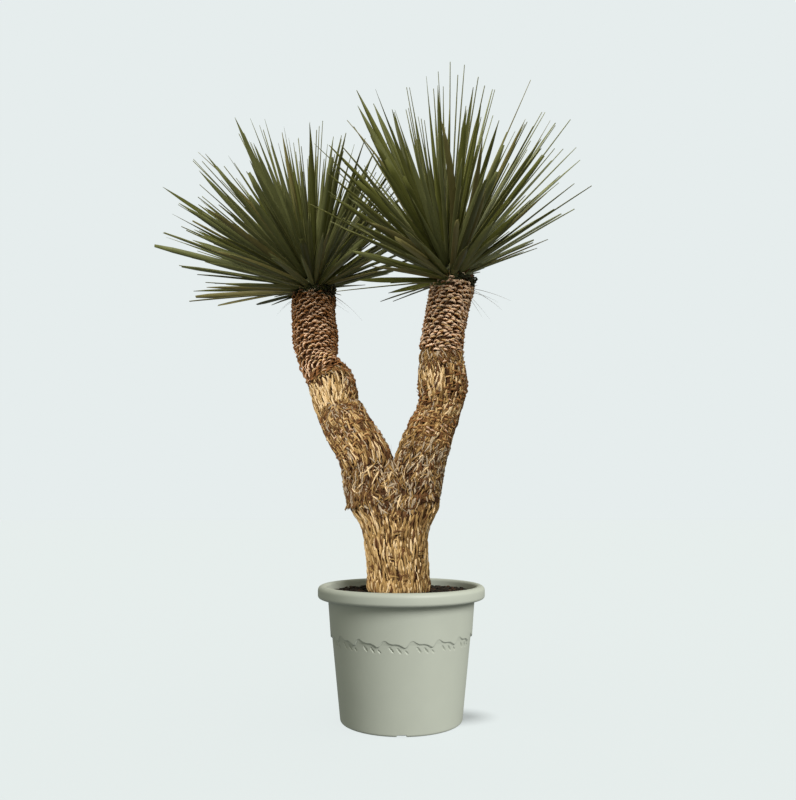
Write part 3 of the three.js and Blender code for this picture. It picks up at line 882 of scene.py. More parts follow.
class Patch(NamedTuple):
    """A stretch of a limb's skin: the heights of its lower and upper edge in millimetres, or None for the
    edge of the fork's mat, how often each tone falls there, the middle and the span of its arc, how crowded
    it is, and the darker tone of the undersides of its leaf bases, which is partly their own colour and
    partly painted shade."""

    limb: str
    foot: float | None
    top: float | None
    tones: dict
    middle: float = FRONT
    span: float = 2 * math.pi
    crowd: float = 1
    shade: str = "russet"


# Lower edge of the fork's mat: its heights in millimetres at some turns round the trunk
MAT_TURNS = (-math.pi, FRONT - 0.4, FRONT + 0.12, 0, math.pi / 2)
MAT_HEIGHTS = (638, 622, 606, 674, 622)


def edge_run(limb, height, turn):
    """Run along a limb of a height in millimetres, or of the mat's edge, at each turn."""
    if height is None:
        heights = np.interp(turn, MAT_TURNS, MAT_HEIGHTS, period=2 * math.pi)
    else:
        heights = np.full(turn.shape, height, float)
    return limb.run_at_height(heights * MM)


EDGE_SAMPLES = 60


def spread(patch, kind, random):
    """Turns of a kind of strip over a patch, the frayed runs of its lower and upper edge there, and each
    strip's place between the edges."""
    limb = LIMBS[patch.limb]
    sample = patch.middle + patch.span * np.linspace(-0.5, 0.5, EDGE_SAMPLES)
    foot, top = edge_run(limb, patch.foot, sample), edge_run(limb, patch.top, sample)
    radius = limb.rows_at((foot + top) / 2)[:, 3]
    count = round(kind["crowd"] * patch.crowd * patch.span * ((top - foot) * radius).mean())
    order = np.arange(count)
    place = (order * GOLDEN_SHARE + random.normal(0, kind["wander"], count)) % 1 - 0.5
    turn = patch.middle + patch.span * place + random.normal(0, 4 * kind["fray"], count)
    frayed = random.normal(0, kind["fray"], (2, count))
    foot = edge_run(limb, patch.foot, turn) + frayed[0]
    top = edge_run(limb, patch.top, turn) + frayed[1]
    return turn, np.maximum(foot, 1 * MM), np.minimum(top, limb.length - 1 * MM), (order + 0.5) / count


def sizes(kind, name, count, random):
    """A column of sizes drawn from a range of a kind of strip."""
    return random.uniform(*kind[name], (count, 1))


def stations(kind):
    """Places along a kind of strip, from its foot at 0 to its tip at 1."""
    return np.linspace(0, 1, len(kind["outline"]))


def dealt_tones(tones, count, random):
    """Index of each strip's finish, dealt out by the weights of the tones."""
    weights = np.array([tones.get(name, 0) for name in BARK_TONES], float)
    return random.choice(len(BARK_TONES), size=(count, 1, 1), p=weights / weights.sum())


def in_other_limbs(spine, limb, margin):
    """Whether the middle of each strip lies deep in a limb that isn't its own."""
    middle = spine[:, spine.shape[1] // 2]
    hidden = np.zeros(len(middle), bool)
    for other in LIMBS.values():
        if other is not limb:
            hidden |= other.holds(middle, margin)
    return hidden


class Strips:
    """Strips that are gathered patch by patch and then joined in one piece."""

    def __init__(self):
        self.batches = []

    def add(self, spine, facing, half_width, thickness, tones, keep=slice(None)):
        self.batches.append([row[keep] for row in (spine, facing, half_width, thickness, tones)])

    def join(self, name, section, materials, random):
        rows = [np.concatenate(batch) for batch in zip(*self.batches)]
        spine, facing, half_width, thickness, tones = rows
        piece = ribbon_piece(name, spine, facing, half_width, thickness, section, tones, materials, random)
        return finish_piece(piece, "stem_bark")


TRUNK_STRAW = {"pale": 3, "honey": 6, "tan": 6, "umber": 5, "brown": 3}
LIGHT_STRAW = {"pale": 9, "honey": 8, "tan": 3, "umber": 1, "brown": 1}
DULL_STRAW = {"pale": 2, "honey": 3, "tan": 4, "umber": 4, "grey": 1, "brown": 4, "dark": 3}
STRAW_PATCHES = (
    Patch("trunk", 379, None, TRUNK_STRAW),
    Patch("trunk", 379, 425, TRUNK_STRAW),
    Patch("left", 745, 945, DULL_STRAW),
    Patch("left", 925, 1030, LIGHT_STRAW, FRONT - 0.5, 2.6),
    Patch("left", 925, 1030, DULL_STRAW, FRONT - 0.5 + math.pi, 2 * math.pi - 2.6),
    Patch("right", 830, 1062, DULL_STRAW),
    Patch("right", 985, 1050, LIGHT_STRAW, FRONT - 0.45, 1.1),
    Patch("right", 905, 960, LIGHT_STRAW, FRONT + 0.75, 1.0, 0.7),
)
# A kind of strip names what it needs of these: its number to the square metre or its pitch, the fray of its
# edges, its ranges of size, how deep its ends lie under the skin as its bed, and its widths from foot to tip
# as its outline. The lift of straw is a stretch of a sine, from arc_from over arc_span half turns.
STRAW = {
    "crowd": 10500, "fray": 4 * MM, "wander": 0.015, "length": (18 * MM, 46 * MM),
    "trunk_slant": 0.15, "bough_slant": 0.2, "bow": 2 * MM, "bed": 3 * MM, "rise": (0.5 * MM, 7 * MM),
    "arc_from": 0.15, "arc_span": 0.5, "arc_power": 1.2,
    "width_share": (0.5, 1.3), "thickness": (2.0 * MM, 4.4 * MM), "margin": 6 * MM,
    "outline": np.array([0.6, 1.0, 1.0, 0.95, 0.8, 0.35]),
    "taper": np.array([0.8, 1, 1, 0.9, 0.7, 0.4]),
}
SHORTEST_STRIP = 9 * MM


class Fold(NamedTuple):
    """An eyebrow of arched straw on the trunk: its height in millimetres, the turn of its middle and its
    span in millimetres."""

    height: float
    turn: float
    span: float


FOLDS = (
    Fold(553, FRONT + 0.09, 48), Fold(490, FRONT - 0.19, 32), Fold(436, FRONT - 0.2, 44),
    Fold(430, FRONT + 0.24, 34), Fold(500, FRONT + 0.9, 34), Fold(455, FRONT - 1.1, 40),
    Fold(540, FRONT + 2.0, 44), Fold(470, FRONT + 3.0, 40), Fold(520, FRONT - 2.2, 36),
)
# How far under its arch the middle of a fold lies, and half its depth
FOLD_DROP = 8 * MM
FOLD_HALF_DEPTH = 9 * MM


def crosses_fold(spine):
    """Whether the middle of each strip on the trunk lies in one of its folds."""
    middle = spine[:, spine.shape[1] // 2]
    crossing = np.zeros(len(middle), bool)
    for fold in FOLDS:
        run = TRUNK.run_at_height(fold.height * MM)
        point = TRUNK.surface(np.array([run]), np.array([fold.turn]))[0][0]
        gap = middle - point
        beside = np.linalg.norm(gap[:, :2], axis=1) / (fold.span / 2 * MM)
        crossing |= (beside < 1) & (np.abs(gap[:, 2] + FOLD_DROP) < FOLD_HALF_DEPTH)
    return crossing


class YUCCA_OT_straw(bpy.types.Operator):
    """Lay straw strips along the trunk and the lower boughs"""

    bl_idname = "yucca.straw"
    bl_label = "Straw"

    def execute(self, context):
        settings = context.scene.yucca_bark
        random = np.random.default_rng(40)
        for name, limb in LIMBS.items():
            strips = Strips()
            for patch in STRAW_PATCHES:
                if patch.limb == name:
                    self.lay(patch, limb, settings, strips, random)
            if strips.batches:
                strips.join(f"{name}_straw", STRIP_SECTION, bark_materials(settings), random)
        return {"FINISHED"}

    @staticmethod
    def lay(patch, limb, settings, strips, random):
        turn, foot, top, place = spread(patch, STRAW, random)
        count = len(turn)
        length = np.minimum(random.uniform(*STRAW["length"], count), top - foot)
        run = lerp(foot, top - length, place)
        slant = random.normal(0, STRAW["trunk_slant" if limb is TRUNK else "bough_slant"], count)
        bow = random.normal(0, STRAW["bow"], count)
        rise = sizes(STRAW, "rise", count, random) + STRAW["bed"]
        arc = (STRAW["arc_from"] + STRAW["arc_span"] * stations(STRAW)) ** STRAW["arc_power"]
        lift = rise * np.sin(math.pi * arc) - STRAW["bed"]
        spine, facing = strips_on_limb(limb, run, turn, length, slant, bow, lift)
        width_share = sizes(STRAW, "width_share", count, random)
        half_width = settings.straw_width / 2 * width_share * STRAW["outline"]
        thickness = sizes(STRAW, "thickness", count, random) * STRAW["taper"]
        tones = dealt_tones(patch.tones, count, random)
        keep = (length > SHORTEST_STRIP) & ~in_other_limbs(spine, limb, STRAW["margin"])
        if limb is TRUNK:
            keep &= ~crosses_fold(spine)
        strips.add(spine, facing, half_width, thickness, tones, keep)


RED_LIPS = {"rosy": 10, "dull": 4, "russet": 3}
TAN_LIPS = {"rosy": 14, "honey": 4, "pale": 2, "dull": 1}
# Paler leaf bases just under the right head, made lighter to offset the shade its leaves cast: partly
# cut-end tones, partly painted light
PALE_LIPS_WITH_PAINTED_LIGHT = {"rosy": 5, "pale": 2}
DARK_LIPS = {"russet": 4, "brown": 3, "dull": 2}
OLD_LIPS = {"honey": 3, "tan": 4, "dull": 2, "umber": 3, "brown": 2}
COLLAR_LIPS = {"rosy": 2, "dull": 4, "grey": 3, "russet": 3, "brown": 2}
# Near-black stubs just under each head: partly their own colour, partly painted shade under the leaves
NECK_LIPS = {"stub": 12, "dark": 2, "grey": 2}
LIP_PATCHES = (
    Patch("left", 780, 925, OLD_LIPS, FRONT + 0.3, 3.2, 0.4),
    Patch("left", 970, 1045, OLD_LIPS, 0.1, 1.5, 0.8),
    Patch("left", 1034, 1058, DARK_LIPS),
    Patch("left", 1055, 1125, TAN_LIPS),
    Patch("left", 1122, 1268, RED_LIPS),
    Patch("left", 1265, 1302, COLLAR_LIPS),
    Patch("left", 1298, 1348, NECK_LIPS, shade="stub"),
    Patch("right", 845, 918, OLD_LIPS, FRONT - 0.5, 3.2),
    Patch("right", 925, 1060, OLD_LIPS, FRONT + 1.6, 3.0, 0.7),
    Patch("right", 925, 990, OLD_LIPS, FRONT - 0.9, 1.8, 0.6),
    Patch("right", 1090, 1240, TAN_LIPS, crowd=0.7),
    # Where a patch's undersides take the dull tone, the cut-end colour darkened, that is painted shade
    Patch("right", 1090, 1240, TAN_LIPS, FRONT + 0.4, crowd=0.6, shade="dull"),
    # The paler bases under the right head are painted light against the shade of its leaves
    Patch("right", 1236, 1290, PALE_LIPS_WITH_PAINTED_LIGHT, crowd=0.6),
    Patch("right", 1236, 1290, PALE_LIPS_WITH_PAINTED_LIGHT, FRONT + 0.4, crowd=0.7, shade="dull"),
    Patch("right", 1288, 1312, NECK_LIPS, shade="stub"),
    Patch("right", 1254, 1284, NECK_LIPS, 0.3, 1.0, shade="stub"),
)
LIPS = {
    "crowd": 5400, "fray": 1.3 * MM, "wander": 0.005, "width_share": (0.75, 1.3),
    "lean": 0.9, "slant": 0.24, "bow": (1 * MM, 5.5 * MM), "bed": 3 * MM, "rise": (7 * MM, 12.5 * MM),
    "half_width": (2.6 * MM, 5.2 * MM), "thickness": (2.8 * MM, 4.6 * MM),
    "outline": np.array([0.45, 0.9, 1.0, 0.9, 0.45]),
}
LIP_UPTURN = np.array([0.0, 0.0, 0.6])
POINTS = {
    "crowd": 1500, "fray": 3 * MM, "wander": 0.015, "length": (12 * MM, 24 * MM),
    "slant": 0.45, "bed": 2 * MM, "rise": (7 * MM, 17 * MM), "half_width": (1.5 * MM, 2.8 * MM),
    "outline": np.array([1.0, 0.9, 0.6, 0.08]),
}
POINT_TONES = {"umber": 2, "brown": 3, "dull": 2}
# Thickness of dry points and of the tongues under folds, as a share of their half width
FLATNESS = 0.8


class YUCCA_OT_leaf_bases(bpy.types.Operator):
    """Cover the upper boughs with spirals of cut leaf bases, and leave dry points on some"""

    bl_idname = "yucca.leaf_bases"
    bl_label = "Leaf Bases"

    def execute(self, context):
        settings = context.scene.yucca_bark
        materials = bark_materials(settings)
        random = np.random.default_rng(60)
        for side, limb in BOUGHS.items():
            lips, points = Strips(), Strips()
            for patch in LIP_PATCHES:
                if patch.limb == side:
                    self.lay_lips(patch, limb, settings, lips, random)
                    self.lay_points(patch, limb, points, random)
            lips.join(f"{side}_bough_leaf_bases", STRIP_SECTION, materials, random)
            points.join(f"{side}_bough_dry_points", FIBRE_SECTION, materials, random)
        return {"FINISHED"}

    @staticmethod
    def lay_lips(patch, limb, settings, lips, random):
        """The thick cut ends: short bars across the limb that arch up and out of it."""
        turn, foot, top, place = spread(patch, LIPS, random)
        count = len(turn)
        run = lerp(foot, top, place)
        length = settings.base_width * random.uniform(*LIPS["width_share"], count)
        turn = turn - length / 2 / limb.rows_at(run)[:, 3]
        slant = math.pi / 2 + LIPS["lean"] * np.sin(turn - FRONT) + random.normal(0, LIPS["slant"], count)
        bow = random.uniform(*LIPS["bow"], count)
        share = stations(LIPS)
        lift = sizes(LIPS, "rise", count, random) * 4 * share * (1 - share) - LIPS["bed"]
        spine, outward = strips_on_limb(limb, run, turn, length, slant, bow, lift)
        facing = unit(outward + LIP_UPTURN)
        half_width = sizes(LIPS, "half_width", count, random) * LIPS["outline"]
        thickness = sizes(LIPS, "thickness", count, random) * LIPS["outline"]
        tones = np.repeat(dealt_tones(patch.tones, count, random), len(STRIP_SECTION), axis=2)
        # Undersides take the patch's darker tone: partly the bases' own colour, partly painted shade
        tones[:, :, LIP_UNDERSIDE] = BARK_TONES.index(patch.shade)
        lips.add(spine, facing, half_width, thickness, tones)

    @staticmethod
    def lay_points(patch, limb, points, random):
        """Dry points that stand off between the cut ends."""
        turn, foot, top, place = spread(patch, POINTS, random)
        count = len(turn)
        run = lerp(foot, top, place)
        length = random.uniform(*POINTS["length"], count)
        slant = random.normal(0, POINTS["slant"], count)
        lift = sizes(POINTS, "rise", count, random) * stations(POINTS) - POINTS["bed"]
        spine, facing = strips_on_limb(limb, run, turn, length, slant, np.zeros(count), lift)
        half_width = sizes(POINTS, "half_width", count, random) * POINTS["outline"]
        tones = dealt_tones(POINT_TONES, count, random)
        points.add(spine, facing, half_width, half_width * FLATNESS, tones)


WEATHERED = {"grey": 7, "umber": 5, "tan": 4, "pale": 2, "brown": 5, "dark": 4}
BROWN_CURLS = {"grey": 3, "umber": 5, "tan": 3, "honey": 1, "brown": 6}
DARK_CURLS = {"grey": 1, "umber": 4, "tan": 1, "brown": 6, "dark": 4}
THATCH_PATCHES = (
    Patch("trunk", None, 676, WEATHERED),
    Patch("left", 640, 765, WEATHERED),
    Patch("left", 640, 690, DARK_CURLS, FRONT - 0.9, 2.0, 1.8),
    Patch("left", 885, 950, BROWN_CURLS, FRONT + 0.6, 2.6, 1.8),
    Patch("left", 955, 1045, BROWN_CURLS, 0.1, 1.5),
    Patch("right", 668, 850, WEATHERED),
    Patch("right", 800, 850, BROWN_CURLS, FRONT + 0.6, 3.0),
    Patch("right", 890, 926, DARK_CURLS, crowd=1.5),
    Patch("right", 1052, 1096, BROWN_CURLS),
    Patch("saddle", 606, 784, WEATHERED),
)
THATCH = {
    "crowd": 14000, "fray": 6 * MM, "wander": 0.015, "length": (20 * MM, 62 * MM),
    "lean": 0.15, "slant": 0.55, "bow": 4 * MM, "bed": 2 * MM, "rise": (1 * MM, 8 * MM), "arc_span": 0.92,
    "half_width": (1.2 * MM, 3.8 * MM), "thickness": (1.4 * MM, 3.0 * MM), "margin": 5 * MM,
    "outline": np.array([0.6, 1.0, 1.0, 0.8, 0.25]),
}


class YUCCA_OT_thatch(bpy.types.Operator):
    """Mat the fork and the old ledges with weathered fibres that cross each other"""

    bl_idname = "yucca.thatch"
    bl_label = "Thatch"

    def execute(self, context):
        materials = bark_materials(context.scene.yucca_bark)
        random = np.random.default_rng(80)
        for name, limb in LIMBS.items():
            strips = Strips()
            for patch in THATCH_PATCHES:
                if patch.limb == name:
                    self.lay(patch, limb, strips, random)
            strips.join(f"{name}_thatch", FIBRE_SECTION, materials, random)
        return {"FINISHED"}

    @staticmethod
    def lay(patch, limb, strips, random):
        turn, foot, top, place = spread(patch, THATCH, random)
        count = len(turn)
        length = np.minimum(random.uniform(*THATCH["length"], count), top - foot)
        run = lerp(foot + length, top, place)
        slant = math.pi + random.normal(THATCH["lean"], THATCH["slant"], count)
        bow = random.normal(0, THATCH["bow"], count)
        rise = sizes(THATCH, "rise", count, random) + THATCH["bed"]
        lift = rise * np.sin(math.pi * THATCH["arc_span"] * stations(THATCH)) - THATCH["bed"]
        spine, facing = strips_on_limb(limb, run, turn, length, slant, bow, lift)
        half_width = sizes(THATCH, "half_width", count, random) * THATCH["outline"]
        thickness = sizes(THATCH, "thickness", count, random) * THATCH["outline"]
        tones = dealt_tones(patch.tones, count, random)
        keep = (length > SHORTEST_STRIP) & ~in_other_limbs(spine, limb, THATCH["margin"])
        strips.add(spine, facing, half_width, thickness, tones, keep)


class Ledge(NamedTuple):
    """A line round a limb where an old skirt of leaves was cut: its height in millimetres, or None for the
    edge of the fork's mat, how far it climbs with each radian of turn, and the middle and the span of its
    arc."""

    limb: str
    height: float | None
    climb: float = 0
    middle: float = FRONT
    span: float = 2 * math.pi


LEDGES = (
    Ledge("left", 1034),
    Ledge("left", 930, 12, FRONT + 0.5, 3.6),
    Ledge("left", 905, 12, FRONT + 0.8, 2.6),
    Ledge("left", 645, 10, FRONT - 0.6, 1.8),
    Ledge("right", 1074),
    Ledge("right", 1060),
    Ledge("right", 908, -14, FRONT, 3.4),
    Ledge("right", 896, -14, FRONT + 0.3, 2.8),
    Ledge("right", 672, 26, FRONT + 0.4, 2.0),
    Ledge("trunk", None),
    Ledge("trunk", 570, 0, FRONT + 0.5, 1.1),
    Ledge("trunk", 530, 10, FRONT + 2.6, 1.6),
    Ledge("trunk", 450, -8, FRONT + 3.5, 1.4),
)
LEDGE_TONES = {"grey": 2, "umber": 5, "tan": 3, "honey": 1, "brown": 5}
CURLS = {
    "pitch": 2.6 * MM, "wave": 4 * MM, "overhang": 12 * MM, "fray": 4 * MM, "lowest": 34 * MM, "flare": 1.4,
    "length": (14 * MM, 32 * MM), "bed": 2 * MM, "rise": (4 * MM, 10 * MM), "slant": 0.4, "bow": 3 * MM,
    "half_width": (1.8 * MM, 4.6 * MM), "thickness": (1.6 * MM, 3.2 * MM), "margin": 8 * MM,
    "outline": np.array([0.8, 1.0, 1.0, 0.9, 0.7, 0.3]),
}
# Arched strips of a fold from its top down, and the short tongues of straw under them
FOLD_OUTLINE = np.array([0.3, 0.7, 0.95, 1.0, 1.0, 1.0, 0.95, 0.7, 0.3])
FOLD_BED = 4 * MM
FOLD_RISE = 11 * MM
# Tones of a fold's arches from its top down: the brown and umber arches are painted shadow of the fold, the
# tan and honey ones its straw
ARC_TONES_WITH_PAINTED_SHADOW = ("brown", "tan", "umber", "honey")
ARCS = {
    "step": 7 * MM, "step_share": (0.8, 1.2), "shrink": 0.13, "length_share": (0.85, 1.1), "wander": 0.03,
    "slant": 0.16, "bow_share": (0.12, 0.22), "sink": 0.1, "half_width": (1.4 * MM, 2.4 * MM),
    "outline": FOLD_OUTLINE,
}
TONGUE_TONES = {"pale": 3, "honey": 4, "tan": 3, "umber": 1}
TONGUES = {
    "pitch": 7 * MM, "reach": 0.42, "drop": 10 * MM, "fray": 12 * MM, "length": (16 * MM, 26 * MM),
    "slant": 0.12, "arc_from": 0.1, "arc_span": 0.8, "half_width": (2.2 * MM, 3.8 * MM),
    "outline": FOLD_OUTLINE,
}


class YUCCA_OT_ledges(bpy.types.Operator):
    """Curl rows of short strips over the ledges of the stem, and arch folds of straw on the trunk"""

    bl_idname = "yucca.ledges"
    bl_label = "Ledges"

    def execute(self, context):
        materials = bark_materials(context.scene.yucca_bark)
        random = np.random.default_rng(90)
        curls, folds = Strips(), Strips()
        for ledge in LEDGES:
            self.curl(ledge, curls, random)
        for fold in FOLDS:
            self.arch(fold, folds, random)
            self.hang_tongues(fold, folds, random)
        curls.join("ledge_curls", STRIP_SECTION, materials, random)
        folds.join("trunk_folds", STRIP_SECTION, materials, random)
        return {"FINISHED"}

    @staticmethod
    def curl(ledge, curls, random):
        """Short strips that hang over the edge of a ledge."""
        limb = LIMBS[ledge.limb]
        middle_run = edge_run(limb, ledge.height, np.array([ledge.middle]))
        count = round(ledge.span * limb.rows_at(middle_run)[0, 3] / CURLS["pitch"])
        turn = ledge.middle + ledge.span * (random.uniform(0, 1, count) - 0.5)
        wave = CURLS["wave"] * np.sin(3 * turn + ledge.climb) + ledge.climb * MM * (turn - ledge.middle)
        fray = random.normal(0, CURLS["fray"], count)
        run = edge_run(limb, ledge.height, turn) + CURLS["overhang"] + fray + wave
        run = np.clip(run, CURLS["lowest"], limb.length - 2 * MM)
        length = random.uniform(*CURLS["length"], count)
        lift = sizes(CURLS, "rise", count, random) * stations(CURLS) ** CURLS["flare"] - CURLS["bed"]
        slant = math.pi + random.normal(0, CURLS["slant"], count)
        bow = random.normal(0, CURLS["bow"], count)
        spine, facing = strips_on_limb(limb, run, turn, length, slant, bow, lift)
        half_width = sizes(CURLS, "half_width", count, random) * CURLS["outline"]
        thickness = sizes(CURLS, "thickness", count, random) * CURLS["outline"]
        tones = dealt_tones(LEDGE_TONES, count, random)
        keep = ~in_other_limbs(spine, limb, CURLS["margin"])
        curls.add(spine, facing, half_width, thickness, tones, keep)

    @staticmethod
    def arch(fold, folds, random):
        """The arched strips of a fold, each shorter than the one over it."""
        order = np.arange(len(ARC_TONES_WITH_PAINTED_SHADOW))
        count = len(order)
        shrunk = fold.span * MM * (1 - ARCS["shrink"] * order)
        length = shrunk * random.uniform(*ARCS["length_share"], count)
        top = TRUNK.run_at_height(fold.height * MM)
        run = top - ARCS["step"] * order * random.uniform(*ARCS["step_share"], count)
        turn = fold.turn - length / 2 / TRUNK.rows_at(run)[:, 3] + random.normal(0, ARCS["wander"], count)
        slant = math.pi / 2 + random.normal(0, ARCS["slant"], count)
        bow = length * random.uniform(*ARCS["bow_share"], count)
        arched = np.sin(math.pi * stations(ARCS))[None, :] * (1 - ARCS["sink"] * order)[:, None]
        lift = FOLD_RISE * arched - FOLD_BED
        spine, facing = strips_on_limb(TRUNK, run, turn, length, slant, bow, lift)
        half_width = sizes(ARCS, "half_width", count, random) * ARCS["outline"]
        # The dark arches paint the fold's shadow
        tones = np.array([BARK_TONES.index(tone) for tone in ARC_TONES_WITH_PAINTED_SHADOW])[:, None, None]
        folds.add(spine, facing, half_width, half_width, tones)

    @staticmethod
    def hang_tongues(fold, folds, random):
        """Short strips of straw side by side under a fold's arches."""
        span = fold.span * MM
        top = TRUNK.run_at_height(fold.height * MM)
        count = round(span / TONGUES["pitch"])
        beside = np.linspace(-TONGUES["reach"], TONGUES["reach"], count)
        turn = fold.turn + span / TRUNK.rows_at(np.array([top]))[0, 3] * beside
        length = random.uniform(*TONGUES["length"], count)
        run = top - TONGUES["drop"] - random.uniform(0, TONGUES["fray"], count)
        raised = np.sin(math.pi * (TONGUES["arc_from"] + TONGUES["arc_span"] * stations(TONGUES)))
        lift = np.tile(FOLD_RISE * raised - FOLD_BED, (count, 1))
        slant = math.pi + random.normal(0, TONGUES["slant"], count)
        spine, facing = strips_on_limb(TRUNK, run, turn, length, slant, np.zeros(count), lift)
        half_width = sizes(TONGUES, "half_width", count, random) * TONGUES["outline"]
        tones = dealt_tones(TONGUE_TONES, count, random)
        folds.add(spine, facing, half_width, half_width * FLATNESS, tones)


# Leaves

LEAF_TONES = ("deep", "olive", "fresh", "yellowed", "margin", "pale_base", "sunlit", "dry")
BLADE_STATIONS = 9
# Outlines of the blades: drawn out to a hair, shortly pointed, and cut blunt
BLADE_OUTLINES = np.array([
    [1.05, 0.95, 1.0, 1.0, 0.84, 0.6, 0.35, 0.14, 0.03],
    [1.05, 0.92, 1.0, 1.0, 1.0, 0.98, 0.88, 0.58, 0.05],
    [1.05, 0.92, 1.0, 1.0, 1.0, 1.0, 0.98, 0.88, 0.46],
])
BLADE_WIDTH_SHARE = (0.72, 1.14)
BLADE_THICKNESS_SHARE = (0.85, 1.15)
TIP_THICKNESS = 0.45
# Bow and sag of a blade as shares of its length, and its twist and roll in radians
BENT_BOW = (0.08, 0.2)
PLAIN_BOW = 0.012
SAG = (-0.004, 0.025)
UPRIGHT_TWIST, LEVEL_TWIST = 0.15, 0.6
ROLL = 0.3
ROOT_SHARE = 0.95
# Share of the leaves on a head's lit side that take its lighter tone: painted light
PAINTED_LIGHT_SHARE = 0.8
PALE_FOOT_SHARE = 0.3
PALE_FOOT_STRETCHES = 2
BARE_STATIONS = 2
BOUGH_CLEARANCE = 4 * MM
# Cosine between two ways from which they count as near, and the span to where they count as one
NEAR_FROM = 0.45
NEAR_SPAN = 0.4


def leaf_materials(settings):
    """The leaves' finishes, in the order of their tones."""
    look = {"shade": 0.7, "along": 6.0, "across": 700.0, "roughness": 0.5, "bump": 0.15, "specular": 0.2}
    greens = LEAF_TONES[:-1]
    blades = [fibre_material(f"leaf_{tone}", getattr(settings, tone), **look) for tone in greens]
    return [*blades, fibre_material("leaf_dry", settings.dry, shade=0.6)]


def leaves_of_tier(head, tier, first_leaf, count, random):
    """Root, direction and full length of a tier's leaves, which turn by the golden angle as they rise."""
    share = (np.arange(count) + 0.5) / count
    polar_from = tier["polar_from"] or head["oldest_polar"]
    jitter = random.uniform(-1, 1, (2, count))
    turn = (first_leaf + np.arange(count)) * GOLDEN_ANGLE + np.radians(TURN_JITTER) * jitter[0]
    polar = lerp(polar_from, tier["polar_to"], share ** tier["crowding"]) + POLAR_JITTER * jitter[1]
    polar = np.radians(polar)
    height = lerp(tier["root_from"], tier["root_to"], share)
    stem_share = (height - tier["foot"]) / (tier["top"] - tier["foot"])
    radius = lerp(tier["foot_radius"], tier["top_radius"], stem_share) * ROOT_SHARE
    across, away = np.sin(turn), np.cos(turn)
    direction = np.stack([np.sin(polar) * across, np.sin(polar) * away, np.cos(polar)], axis=1)
    root = np.stack([radius * across, radius * away, height], axis=1) * MM - LEAF_SINK * direction
    upright = np.array(Vector((0, 0, 1)).rotation_difference(head_axis(head)).to_matrix())
    root = root @ upright.T + np.array(head["tip"])
    direction = direction @ upright.T
    direction[:, 0] += head["sway"] * np.maximum(0, direction[:, 2]) ** 2
    direction = unit(direction)
    upness = np.maximum(0, direction[:, 2])
    length = lerp(head["side_length"], head["top_length"], upness ** 4)
    return root, direction, length * lerp(tier["length_from"], tier["length_to"], share)


def room_between_heads(side, root, direction):
    """How long a leaf can be before it reaches too far into the other head."""
    left, right = np.array(HEADS["left"]["tip"]), np.array(HEADS["right"]["tip"])
    towards_other = unit(right - left) if side == "left" else unit(left - right)
    gap = -(root - (left + right) / 2) @ towards_other - HEAD_MARGIN
    closing = direction @ towards_other
    return np.where(closing > 0, gap / np.maximum(closing, 1e-6), np.inf)


def nearness(directions, way):
    """From 0 to 1, how near each direction comes to a way."""
    return smooth_step((directions @ unit(np.array(way, float)) - NEAR_FROM) / NEAR_SPAN)


def blade_spines(root, direction, length, axis, bent, random):
    """Lines of the blades, which bow a little sideways and sag a little towards their tips."""
    share = np.linspace(0, 1, BLADE_STATIONS)
    across = unit(np.cross(direction, axis))
    face = np.cross(across, direction)
    count = len(root)
    bow = np.where(bent, random.uniform(*BENT_BOW, count), random.normal(0, PLAIN_BOW, count)) * length
    level = np.sqrt(np.clip(1 - direction[:, 2] ** 2, 0, 1))
    sag = (random.uniform(*SAG, count) * level) * length
    spine = root[:, None] + direction[:, None] * (length[:, None] * share)[..., None]
    spine = spine + across[:, None] * (bow[:, None] * share ** 2)[..., None]
    spine[..., 2] -= sag[:, None] * share ** 2
    twist = lerp(UPRIGHT_TWIST, LEVEL_TWIST, level)[:, None] * random.normal(0, 1, (count, 1))
    roll = twist + random.normal(0, ROLL, (count, 1)) * share
    facing = face[:, None] * np.cos(roll)[..., None] + across[:, None] * np.sin(roll)[..., None]
    return spine, facing


# The short stem inside a head: radius and height in millimetres
CORE_PROFILE = (
    (0, -6), (60, -6), (62, 8), (61, 28), (54, 47), (45, 66), (28, 88), (12, 100), (0, 104),
)
CORE_STEPS = 48


